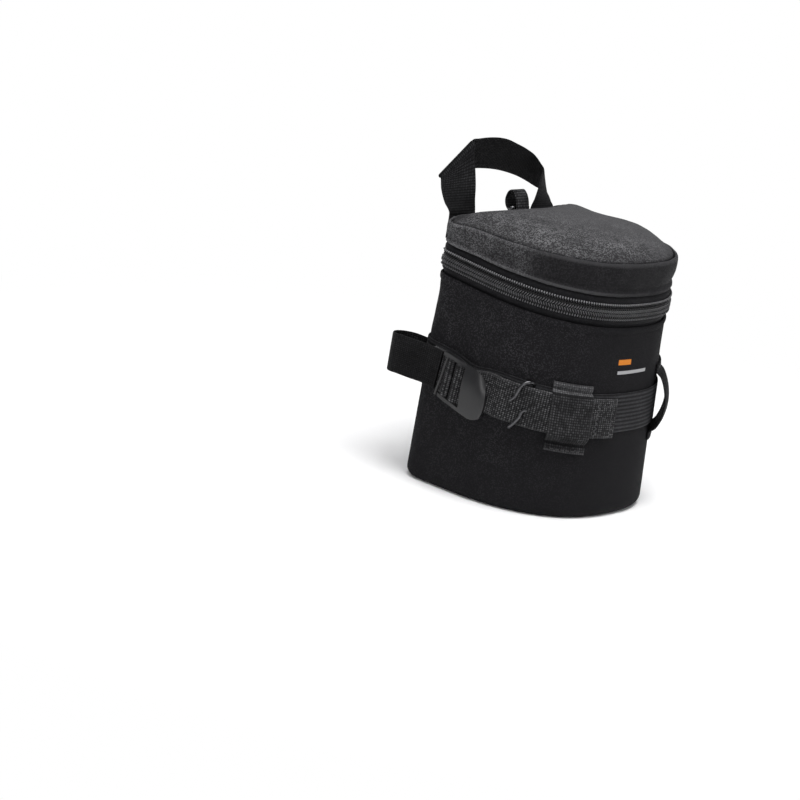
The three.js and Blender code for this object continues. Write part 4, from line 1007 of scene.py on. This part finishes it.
over = tail_stand + 1.25 + lift_at(gear_tab_run - tab_columns)
flat = np.full_like(over, 0.3)
left_rows = [
    (38, flat + 0.8), (39.8, flat + 0.9), (41.6, flat + 0.8), (42.3, flat + 0.1), (44.4, over * 0.5 + 0.3),
    (46.9, over), (50, over), (54, over), (58, over), (62, over), (66.2, over), (68.1, over * 0.5 + 0.2),
    (69.2, flat + 0.1), (69.9, flat + 0.8), (71.2, flat + 0.9), (72.5, flat + 0.8),
]
right_low, right_high, right_bulge = 43.5, 75.5, 6.5
right_rows = [(40, flat), (41.8, flat), (right_low, flat)]
for share in np.linspace(0, 1, 13)[1:-1]:
    level = right_low + (right_high - right_low) * share
    right_rows.append((level, flat + right_bulge * math.sin(math.pi * share) ** 0.6))
right_rows += [(right_high, flat), (77.2, flat), (79, flat)]
for name, centre, rows, look, hems, hem_lift in (
    ("Left_gear_tab", -gear_tab_run, left_rows, tab_webbing, (39.4, 70.9), 1.9),
    ("Right_gear_loop", gear_tab_run, right_rows, dark_webbing, (41.8, 77.2), 1.0),
):
    placed = [tab_row(centre, level, stands) for level, stands in rows]
    points = np.array([p[::-1] for p, _ in placed])
    outs = np.array([o[::-1] for _, o in placed])
    tab = webbing(name, points, outs)
    dressed(tab, look, "webbing", "body", name.lower())
    for level in hems:
        point, out = tab_row(centre, level, flat + hem_lift)
        sewn(tab, point[1:-1] + out[1:-1] * 0.05, out[1:-1])

# Ladder lock: a moulded nylon buckle with two bars for webbing, two side rails and a lever plate
# whose far edge is bowed. It stands on the strap and tips up to let the strap slip.
def buckle_plastic_look():
    """Moulded nylon with a fine grain, worn unevenly."""
    material, wire, shader = shader_of("buckle_plastic", 0.34, 0.5)
    grain, unevenness = grain_of(wire, 2600.0, 3.0), grain_of(wire, 160.0, 5.0)
    colour = unevenness.tint((0.006, 0.006, 0.0067, 1), (0.012, 0.012, 0.013, 1))
    finished(shader, colour, grain, 0.00003, grain * 0.12 + unevenness * 0.14 + 0.22)
    return material


buckle_plastic = buckle_plastic_look()
lock_length, lever_x, half_lock, rail_width = 25.2, 10.6, 12.0, 1.85


def lock_frame():
    """The rails and the lever plate, cut from one flat grid, thickened and rounded."""
    xs = np.array([-3.6, -1.4, 1.4, 4.0, 6.4, 8.6, lever_x, 12.4, 15, 17.6, 20, 22, 23.8, lock_length])
    ys = np.array([-12, -11.1, -10.15, -7, -3.5, 0, 3.5, 7, 10.15, 11.1, 12])
    points = np.array([[(x, y, 0.0) for x in xs] for y in ys])
    piece = sheet("Ladder_lock", points, points[..., 0], points[..., 1])
    only(piece)
    bpy.ops.object.mode_set(mode="EDIT")
    bpy.ops.mesh.select_all(action="DESELECT")
    bpy.ops.object.mode_set(mode="OBJECT")
    for face in piece.data.polygons:
        x, y = face.center.x / MM, face.center.y / MM
        face.select = x < lever_x and abs(y) < half_lock - rail_width
    bpy.ops.object.mode_set(mode="EDIT")
    bpy.ops.mesh.delete(type="FACE")
    bpy.ops.mesh.select_all(action="SELECT")
    bpy.ops.mesh.extrude_region_move(TRANSFORM_OT_translate={"value": (0, 0, 0.0028)})
    bpy.ops.mesh.select_all(action="SELECT")
    bpy.ops.mesh.normals_make_consistent(inside=False)
    bpy.ops.object.mode_set(mode="OBJECT")
    spots = points_of(piece) / MM
    x, y, top = spots[:, 0].copy(), spots[:, 1].copy(), spots[:, 2] > 1
    rail = np.abs(y) / half_lock
    far = np.clip((x - 16) / (lock_length - 16), 0, 1)
    spots[:, 0] -= far * 2.4 * rail**2.4
    spots[:, 1] *= 1 - 0.22 * far**2.4 - 0.05 * np.clip(-x / 3.6, 0, 1)
    lever = eased_step((x - 5) / 6)
    upper = np.clip(y / half_lock, 0, 1)
    spots[:, 2] = np.where(top, 2.3 + 1.0 * lever, -1.3 + 1.6 * lever)
    turned_down = np.where(top, 0.5 * rail**3 + 2.1 * upper**2.2, 0) * lever
    spots[:, 2] -= np.where(top, 1.6, 0.2) * far**3 + turned_down
    spots[:, 1] -= lock_droop * (spots[:, 0] + 6)
    spots[:, 0] -= lock_slant * y
    move_points(piece, spots * MM)
    applied(piece, "BEVEL", width=0.75 * MM, segments=3, limit_method="ANGLE", angle_limit=math.radians(40))
    applied(piece, "SUBSURF", levels=1, render_levels=1)
    return piece


def united(whole, other):
    """Makes an overlapping piece one solid with another."""
    applied(whole, "BOOLEAN", operation="UNION", object=other)
    bpy.data.objects.remove(other)


lock = lock_frame()
for x, z, radius in ((0.0, 0.0, 1.2), (anchor_bar_run - mid_bar_run, 0.0, 1.2), (-3.0, 1.7, 0.6)):
    bpy.ops.object.select_all(action="DESELECT")
    bpy.ops.mesh.primitive_cylinder_add(
        vertices=20, radius=radius * MM, depth=(half_lock * 2 - 1.4) * MM,
        location=(x * MM, -lock_droop * (x + 6) * MM, z * MM), rotation=(math.pi / 2, 0, -lock_slant),
    )
    bpy.ops.object.transform_apply(location=True, rotation=True, scale=True)
    united(lock, bpy.context.object)
lock_axes = np.stack((lock_x, lock_y, lock_z))
move_points(lock, points_of(lock) @ lock_axes + lock_back * MM)
smooth(lock, 42)
dressed(lock, buckle_plastic, "buckle_plastic", "buckle", "ladder_lock")

# Strap keeper: one bent steel wire, blackened, that goes round the strap and holds its layers. Its
# two ends hook over the strap's face, and it slides a little along the strap.
dark_metal = grained(
    "dark_metal", 0.32, 0.5, 500.0, 4.0, (0.05, 0.05, 0.053, 1), (0.13, 0.13, 0.135, 1), 0.00002,
    metallic=1.0, rough=(0.2, 0.2),
)


def wire_piece(name, points, radius, closed=False):
    """A round wire on a smooth curve through points in mm, made a mesh."""
    bpy.ops.object.select_all(action="DESELECT")
    bpy.ops.curve.primitive_bezier_curve_add(radius=MM)
    piece = bpy.context.object
    piece.name = name
    piece.data.splines.clear()
    spline = piece.data.splines.new("BEZIER")
    spline.bezier_points.add(len(points) - 1)
    for spot, point in zip(spline.bezier_points, points):
        spot.co = Vector(point) * MM
        spot.handle_left_type = spot.handle_right_type = "AUTO"
    spline.use_cyclic_u = closed
    spline.resolution_u = 8
    piece.data.bevel_depth = radius * MM
    piece.data.bevel_resolution = 5
    piece.data.use_fill_caps = True
    only(piece)
    bpy.ops.object.convert(target="MESH")
    piece = bpy.context.object
    edit(piece, (bpy.ops.mesh.remove_doubles, {"threshold": 1e-7}),
         (bpy.ops.mesh.normals_make_consistent, {"inside": False}))
    smooth(piece, 50)
    return piece


wire_back, wire_front, wire_reach, wire_lean = 1.775, 6.35, 11.0, 6.0
keeper_points = []
for lean, rise, front in (
    (0.62, 0.12, 1), (0.34, 0.3, 1), (0.12, 0.62, 1), (-0.12, 0.95, 1), (-0.42, 1.1, 0.8), (-0.78, 1.1, 0.4),
    (-0.9, 0.95, 0.05), (-0.5, 0.3, 0), (0, -0.4, 0), (0.36, -0.95, 0.05), (0.46, -1.12, 0.45),
    (0.3, -1.02, 0.9), (0, -0.75, 1), (-0.26, -0.48, 1), (-0.42, -0.2, 1), (-0.72, -0.08, 1),
):
    run = -keeper_run - wire_lean * lean
    z = strap_middle(run, strap_height) + wire_reach * rise
    keeper_points.append(skin(run, z, wire_back + (wire_front - wire_back) * front)[0])
keeper = wire_piece("Strap_keeper", keeper_points, 0.8)
dressed(keeper, dark_metal, "dark_metal", "keeper", "strap_keeper")

# Outer cloths of the lid: a padded side band, its back wall and a crowned top, sewn together
# with a turned ridge round the top. The band's lower edge is a folded hem above the zip. The
# real lid is a little crooked, so its rim rises and sinks at three places.
def lid_highlight_and_shade(u, v, shade):
    """The band is lighter along its folded hem, more at the left. Painted highlight lies on the ridge under
    the seam, painted shade darkens the right side, which is lifted a little further right, and painted shade
    fills the seam's groove above the ridge.
    """
    hem = v.step(0.0003, 0.0008) * v.step(0.0026, 0.0018) * (u.step(0.01, -0.05) * 0.8 + 0.2)
    ridge = v.step(0.0130, 0.0144) * v.step(0.0162, 0.0156)
    side = u.step(-0.05, -0.09) * u.step(-0.165, -0.12)
    far = u.step(0.005, 0.05)
    shade = shade * (side * 0.9 + 0.1) + far * 0.04 + hem * 0.2 + ridge * 0.10
    return shade * v.step(0.0170, 0.0162)


def top_painted_light(u, v, shade):
    """Painted light on the top: glints specked at the left and an even lighter tone at the right, with
    painted shade along the seam at its rim.
    """
    even = (u + v * 0.5).step(-0.035, 0.03)
    seam = u.node("ShaderNodeAttribute", {"attribute_name": "seam"}, None, 2)
    return (shade * (1.4 - even * 1.15) + even * 0.24) * (1 - seam)


# The lid's cloths are lit copies of the body cloth: their much lighter light colours are painted glints and
# painted light, for the band and the top that catch more light.
lid_cloth = woven(
    "lid_cloth", cloth_dark, (0.19, 0.189, 0.195, 1), 0.0007, 0.00062, 0.0001, 0.7,
    glint_range=(0.1, 1.0), extra=lid_highlight_and_shade,
)
top_cloth = woven(
    "lid_top_cloth", (0.009, 0.0088, 0.0098, 1), (0.18, 0.179, 0.185, 1), 0.0007, 0.00062, 0.0001, 0.65,
    glint_range=(0.2, 1.0), even=0.15, extra=top_painted_light,
)


def rim_lift(x, y):
    """How far the real lid's rim stands above its plain line, in mm."""
    return sum(
        height * np.exp(-(((x - at_x) / wide) ** 2) - ((y - at_y) / deep) ** 2)
        for height, at_x, at_y, wide, deep in (
            (2.2, 40, 42, 10, 10), (-1.1, 56, 19, 17, 17), (-2.0, -53, 43, 9, 14),
        )
    )


def lifted(piece):
    """Gives a piece of the lid its crooked rim, from nothing at the hem."""
    points = points_of(piece) / MM
    share = np.clip((points[:, 2] - lid_hem_level - 1) / 11, 0, 1)
    points[:, 2] += share * rim_lift(points[:, 0], points[:, 1])
    move_points(piece, points * MM)
    return piece


lid_crown = 8.2


def top_rise(x, y, share):
    """The crown of the top, with a hump at the right front and a rolled edge."""
    hump = 2.7 * np.exp(-(((x - 41.6) / 19) ** 2) - ((y + 8.5) / 19) ** 2) * (1 - share**6)
    roll = np.interp(share, (0.93, 0.955, 0.97, 0.985, 0.994, 1), (0, 0.45, 0.65, 0.6, 0.1, -1.2))
    return lid_crown * (1 - share**4.27) + hump + roll


lid_corners = np.array([
    (0.2, 117.5), (-0.35, 117.7), (-0.6, 118.4), (-0.55, 119.2), (-0.1, 119.9), (0.4, 120.6),
    (0.1, 121.4), (-0.25, 122.5), (-0.75, 125), (-1.0, 127.5), (-1.1, 129.6), (-0.95, 130.9),
    (-0.45, 131.7), (0.15, 131.75), (0.6, 131.2), (0.8, 130.2), (0.85, 129.4),
])
corner_lengths = path_lengths(lid_corners)
steps = np.linspace(0, corner_lengths[-1], 36)
lid_profile = np.stack([np.interp(steps, corner_lengths, lid_corners[:, k]) for k in (0, 1)], 1)
for node, runs in (("lid_side_band", wall_runs), ("lid_back_wall", back_runs)):
    piece = wall_sheet(node.capitalize() + "_cloth", lid_profile, runs)
    level = np.repeat(lid_profile[:, 1], len(runs))
    puffed(piece, held((level, 110, 120.6, 1), (level, 130.8, 140, 1)), 2.0, 0.0006)
    rumpled(piece, 0.0006, 0.010, 0.112, 0.134)
    rumpled(piece, 0.0003, 0.0032, 0.105, 0.121)
    lifted(piece)
    plied(piece, cloth_ply)
    dressed(piece, lid_cloth, "outer_cloth", "lid", node)
top_shares = [
    1, 0.994, 0.985, 0.97, 0.95, 0.92, 0.88, 0.82, 0.75, 0.67, 0.58, 0.48, 0.38, 0.28, 0.18, 0.08, 0,
]
lid_top = plan_disc("Lid_top_cloth", 130.9, 1.0, 0, top_shares, cloth_ply, -1, top_rise)
# The seam attribute is painted shade: it darkens the top cloth towards its rim, in the seam's groove.
level = (points_of(lid_top) @ (0, -slope_at(lid_top_level), 1)) / MM
seam = lid_top.data.attributes.new("seam", "FLOAT", "POINT")
seam.data.foreach_set("value", np.interp(level, (131.4, 132.4, 135.0), (1, 0.4, 0)))
lifted(lid_top)
dressed(lid_top, top_cloth, "outer_cloth", "lid", "lid_top_panel")

# Padding and lining of the lid: the same closed-cell foam in its band and its top, under the
# same nylon lining, with a folded tape sewn over the raw edge.
lid_foam_high = lid_top_level - 0.3
lid_lining_high = lid_foam_high - 4.15
lid_wall_low = lid_hem_level + 0.65
step_level = lid_hem_level + 5.65
lid_wall_outline = [
    (1.8, lid_wall_low), (1.8, step_level), (1.15, step_level), (1.15, lid_lining_high),
    (5.15, lid_lining_high), (5.15, lid_wall_low),
]
lid_lining_low = lid_lining_high - 0.75
lid_disc_shares = [1, 0.9, 0.72, 0.48, 0.24, 0]
lid_wall_foam = swept("Lid_wall_foam", lid_wall_outline[::-1], ring_runs, True)
lid_top_foam = plan_disc("Lid_top_foam", lid_lining_high + 0.15, 1.4, 5, lid_disc_shares, 3.2, 1)
for piece, node in ((lid_wall_foam, "lid_wall_foam"), (lid_top_foam, "lid_top_foam")):
    dressed(lifted(piece), foam, "foam", "lid", node)
lid_lining = swept("Lid_wall_lining", slab(5.3, 5.9, lid_wall_low, lid_lining_low), ring_runs, True)
dressed(lid_lining, lining_cloth, "lining", "lid", "lid_wall_lining")
lid_top_lining = lifted(plan_disc("Lid_top_lining", lid_lining_low + 0.15, 5.3, 5, lid_disc_shares, 0.6, 1))
dressed(lid_top_lining, lining_cloth, "lining", "lid", "lid_top_lining")
lid_binding_outline = binding_outline(lid_wall_low, -1, lid_lining_low - lid_wall_low)
lid_binding = swept("Lid_binding", lid_binding_outline, ring_runs, True)
dressed(lid_binding, binding_tape, "webbing", "lid", "lid_binding")

# Grab handle: one 20 mm webbing, sewn down behind the lid at both ends, with a slanting fold at
# the left of its free run and a soft turn at the right.
handle_seat = np.array((0, 46.6, 134.46))
handle_scale = np.array((63.0, 12.0, 34.0))
handle_start = np.array((-35.5, 0, 0))
left_leg = [
    (-0.036, 0, 0, 1, 0, 0), (-0.052, 0.158, 0.16, 0.975, -0.17, 0.065),
    (-0.045, 0.367, 0.338, 0.93, -0.33, 0.13), (-0.015, 0.625, 0.501, 0.885, -0.34, 0.305),
    (-0.001, 0.792, 0.632, 0.905, -0.23, 0.63), (0.006, 0.887, 0.725, 0.92, -0.145, 0.915),
]
free_run = [
    (0.068, 1.042, 0.749, 0.68, -0.15, 0.905), (0.178, 1.071, 0.775, 0.37, -0.235, 0.875),
    (0.333, 1.05, 0.796, 0.15, -0.28, 0.865), (0.50, 1.055, 0.785, -0.02, -0.33, 0.875),
    (0.62, 1.07, 0.755, -0.16, -0.38, 0.875), (0.745, 1.08, 0.70, -0.27, -0.42, 0.85),
    (0.891, 1.08, 0.622, -0.348, -0.441, 0.827), (1.033, 1.055, 0.514, -0.418, -0.434, 0.798),
    (1.115, 0.965, 0.42, -0.53, -0.41, 0.74), (1.165, 0.81, 0.35, -0.664, -0.326, 0.673),
    (1.12, 0.62, 0.30, -0.76, -0.31, 0.54), (1.085, 0.42, 0.21, -0.86, -0.28, 0.36),
    (1.04, 0.21, 0.10, -0.94, -0.18, 0.18), (1.0, 0.04, 0.0, -0.99, -0.03, 0),
]


def stretch_of(shares):
    """Middles, half widths, ways ahead and ways out of a stretch of the handle."""
    shares = np.array(shares, float)
    middle = handle_seat + handle_start + shares[:, :3] * handle_scale
    half = shares[:, 3:] * half_webbing
    ahead = np.vstack((middle[1:], middle[-1:])) - np.vstack((middle[:1], middle[:-1]))
    out = np.cross(half, ahead)
    return middle, half, ahead, out / np.linalg.norm(out, axis=1, keepdims=True)


def fold_rows(middle, half, way, out):
    """The webbing turned over along its slanting row."""
    across = unit(half)
    ahead = unit(way - across * (across @ way))
    centre = middle - out * 1.0
    rows = []
    for angle in np.radians((45, 90, 135, 180)):
        turned = out * math.cos(angle) + ahead * math.sin(angle)
        rows.append((centre + turned * 0.5, half, turned))
    return rows


def plain_rows(middle, half, ahead, out):
    """The webbing's rows along a stretch, moved back by half its thickness."""
    return [(m - o * 0.5, h, o) for m, h, o in zip(middle, half, out)]


def sewn_rows(x, side, levels):
    """The webbing's rows where it is sewn down behind the lid."""
    half = np.array((side * half_webbing, 0, 0))
    out = np.array((0, -1.0, 0))
    return [(handle_seat + (x, 0, z) - out * 0.5, half, out) for z in levels]


left, middle_run = stretch_of(left_leg), stretch_of(free_run)
rows = sewn_rows(-37.6, 1, (-12.6, -9, -5, -1.5))
rows += plain_rows(*left) + fold_rows(*(part[-1] for part in left))
rows += plain_rows(*middle_run) + sewn_rows(27.5, -1, (-1.5, -5, -9, -12.6))
points = np.array([(m - h, m + h) for m, h, _ in rows])
outs = np.array([(o, o) for _, _, o in rows])
handle = webbing("Grab_handle", points, outs, step=0.9)
dressed(handle, dark_webbing, "webbing", None, "grab_handle", "handle_left_end", "handle_right_end")
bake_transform(handle)

# Ring tab and D-ring: a 10 mm webbing folded in two and sewn behind the lid, whose standing loop
# holds a small ring of 2 mm blackened wire by its straight bar.
tab_seat = np.array((10.8, 47.1, 134.16))
tab_rows = []
for across, rise, out_y, out_z in (
    (0, -1.05, -1, 0), (0, -0.6, -1, 0), (0, -0.12, -1, 0.02), (0.05, 0.2, -0.93, 0.3),
    (0.2, 0.45, -0.8, 0.6), (0.42, 0.64, -0.6, 0.8), (0.66, 0.74, -0.15, 1), (0.9, 0.68, 0.5, 0.85),
    (1.08, 0.48, 0.9, 0.4), (1.1, 0.26, 1, 0), (0.98, 0.08, 0.9, -0.45), (0.62, -0.1, 0.6, -0.8),
    (0.2, -0.22, 0.6, -0.8), (0.04, -0.42, 0.97, -0.2), (0.03, -0.72, 1, 0), (0.03, -1.05, 1, 0),
):
    middle = tab_seat + (0, 6.5 * across, 11.5 * rise)
    tab_rows.append(((middle - (5, 0, 0), middle + (5, 0, 0)), ((0, out_y, out_z),) * 2))
ring_tab = webbing(
    "D_ring_tab", np.array([r[0] for r in tab_rows]), np.array([r[1] for r in tab_rows]), step=0.8
)
dressed(ring_tab, tab_webbing, "webbing", "lid", "d_ring_tab")
ring_half, bow_height = 6.5, 7.5
ring_side = [(6.2, 0), (ring_half, -0.4), (ring_half, -4), (ring_half, -bow_height)]
ring_plan = [(-3.5, 0), (0, 0), (3.5, 0)] + ring_side
for angle in np.radians(np.linspace(0, 180, 9)[1:-1]):
    ring_plan.append((ring_half * math.cos(angle), -bow_height - ring_half * math.sin(angle)))
ring_plan += [(-x, z) for x, z in ring_side[::-1]]
ring_turn = math.radians(6)
ring_x, ring_y, ring_z = 10.8, 48.5, 134.86
ring_points = [
    (ring_x + x, ring_y - z * math.sin(ring_turn), ring_z + z * math.cos(ring_turn)) for x, z in ring_plan
]
d_ring = wire_piece("D_ring", ring_points, 1.0, True)
dressed(d_ring, dark_metal, "dark_metal", "ring", "d_ring")

# Zip slider: two cast metal plates joined by a wedge, with a bridge on the outer one. A cord loop
# through the bridge carries a moulded rubber grip. Both hang on the right side of the pouch.
slider_place = np.array((55.25, 28.49692, 112.46368))
slider_axes = np.array(((0, -0.99464, -0.10344), (1, 0, 0), (0, -0.10344, 0.99464)))
bridge_rise = 6.0


def on_slider(piece, rise=0.0):
    """Puts a piece made in the slider's own frame, in mm, on the slider."""
    move_points(piece, points_of(piece) @ slider_axes + (slider_place + slider_axes[1] * rise) * MM)


def block(name, size, place, bevel, segments=3):
    """A rounded block in mm, x along the zip, y out and z up."""
    bpy.ops.object.select_all(action="DESELECT")
    bpy.ops.mesh.primitive_cube_add(size=MM, location=Vector(place) * MM, scale=size)
    piece = bpy.context.object
    piece.name = name
    bpy.ops.object.transform_apply(location=True, rotation=True, scale=True)
    applied(piece, "BEVEL", width=bevel * MM, segments=segments)
    return piece


slider = block("Zip_slider", (9, 1, 7.2), (0, 2.85, 0), 0.45)
spots = points_of(slider)
nose = np.clip(spots[:, 0] / (4.5 * MM), -1, 1)
spots[:, 2] *= 1 - 0.16 * np.clip(-nose, 0, 1) ** 2
move_points(slider, spots)
for name, size, place, bevel in (
    ("inner_plate", (9, 1, 7.2), (0, -0.85, 0), 0.3),
    ("wedge", (3, 3.4, 0.5), (0, 1.0, 0), 0.1),
    ("lower_flange", (8.6, 2.2, 0.9), (0, 1.9, -3.2), 0.2),
    ("front_foot", (1.0, 3.4, 1.4), (2.7, 4.5, 0), 0.3),
    ("rear_foot", (1.0, 3.4, 1.4), (-2.7, 4.5, 0), 0.3),
    ("bridge_bar", (6.4, 1.2, 1.5), (0, bridge_rise, 0), 0.45),
):
    united(slider, block(name, size, place, bevel))
on_slider(slider)
smooth(slider, 35)
dressed(slider, dark_metal, "dark_metal", "slider", "zip_slider")
grip_rubber = grained(
    "grip_rubber", 0.62, 0.4, 1800.0, 3.0, (0.010, 0.010, 0.011, 1), (0.028, 0.028, 0.030, 1), 0.00005
)
cord_bend = 1.55
leg_levels = (-9.9, -7, -4.5, -2)
over_bar = np.radians((0, 45, 90, 135, 180))
cord_points = [(0, -cord_bend, z) for z in leg_levels]
cord_points += [(0, -cord_bend * math.cos(t), cord_bend * math.sin(t)) for t in over_bar]
cord_points += [(0, cord_bend, z) for z in leg_levels[::-1]]
pull_cord = wire_piece("Zip_pull_loop", cord_points, 0.7)
on_slider(pull_cord, bridge_rise)
dressed(pull_cord, thread, "webbing", "pull", "zip_pull_loop")
grip_top, grip_length = 9.8, 18
grip = block("Zip_pull_grip", (6, 4.4, grip_length), (0, 0, -grip_top - grip_length / 2), 1.2, 4)
spots = points_of(grip)
down = (-grip_top * MM - spots[:, 2]) / (grip_length * MM)
spots[:, 0] *= 1 - 0.16 * np.sin(np.clip(down, 0, 1) * math.pi) ** 2
move_points(grip, spots)
for level in (-14, -17, -20, -23):
    edit(grip, (bpy.ops.mesh.bisect, {"plane_co": (0, 0, level * MM), "plane_no": (0, 0, 1)}))
on_slider(grip, bridge_rise)
smooth(grip, 35)
dressed(grip, grip_rubber, "grip_rubber", "pull", "zip_pull_grip")

# Floor, backdrop and lights: a pale floor that turns white away from the pouch, under four soft
# lamps, of which the one above is the strongest.
bpy.ops.object.select_all(action="DESELECT")
bpy.ops.mesh.primitive_plane_add(size=30)
floor = bpy.context.object
floor.name = "Floor"
floor_paint, wire, shader = shader_of("floor_paint", 0.9, 0.1)
spot = wire.node("ShaderNodeTexCoord", None, None, 3)
radius = spot.node("ShaderNodeVectorMath", {"operation": "LENGTH"}, {0: spot}, 1)
paint = grain_of(wire, 6.0).tint((0.86, 0.86, 0.86, 1), (0.90, 0.90, 0.90, 1))
wire.tree.links.new(paint.socket, shader.inputs["Base Color"])


def seen_by(wire, *others):
    """1 for what the camera sees, straight or by the other kinds of ray."""
    ray = wire.node("ShaderNodeLightPath")
    seen = ray
    for kind in others:
        seen = seen.math("MAXIMUM", seen, Wire(ray.tree, ray.socket.node.outputs[kind]))
    return seen


far = seen_by(wire, "Is Glossy Ray", "Is Transmission Ray") * radius.step(0.10, 0.42)
white = wire.node("ShaderNodeEmission", None, {"Color": (1, 1, 1, 1), "Strength": 1.0})
painted = Wire(wire.tree, shader.outputs[0])
mixed = wire.node("ShaderNodeMixShader", None, {0: far, 1: painted, 2: white})
wire.tree.links.new(mixed.socket, wire.tree.nodes["Material Output"].inputs["Surface"])
floor.data.materials.append(floor_paint)

world = bpy.data.worlds.new("studio")
bpy.context.scene.world = world
world.use_nodes = True
sky = Wire(world.node_tree)
sky_colour = seen_by(sky, "Is Transmission Ray").tint((0.24, 0.24, 0.25, 1), (1, 1, 1, 1))
sky.tree.links.new(sky_colour.socket, world.node_tree.nodes["Background"].inputs["Color"])


def lamp(name, place, target, size, watts):
    """A square lamp at a place in metres, turned to its target."""
    bpy.ops.object.select_all(action="DESELECT")
    bpy.ops.object.light_add(type="AREA", location=place)
    light = bpy.context.object
    light.name = name
    light.data.size = size
    light.data.energy = watts
    light.rotation_euler = (Vector(target) - Vector(place)).to_track_quat("-Z", "Y").to_euler()


lamp("Top_softbox", (-0.15, -0.25, 1.25), (0, 0, 0.1), 0.8, 19)
lamp("Front_softbox", (-1.3, -0.75, 0.75), (0, 0, 0.08), 0.7, 5)
lamp("Right_softbox", (1.0, -1.1, 0.6), (0, 0, 0.08), 0.8, 4.5)
lamp("Back_softbox", (0.3, 1.2, 0.8), (0, 0, 0.1), 0.8, 5)

bpy.context.scene.view_settings.view_transform = "Standard"
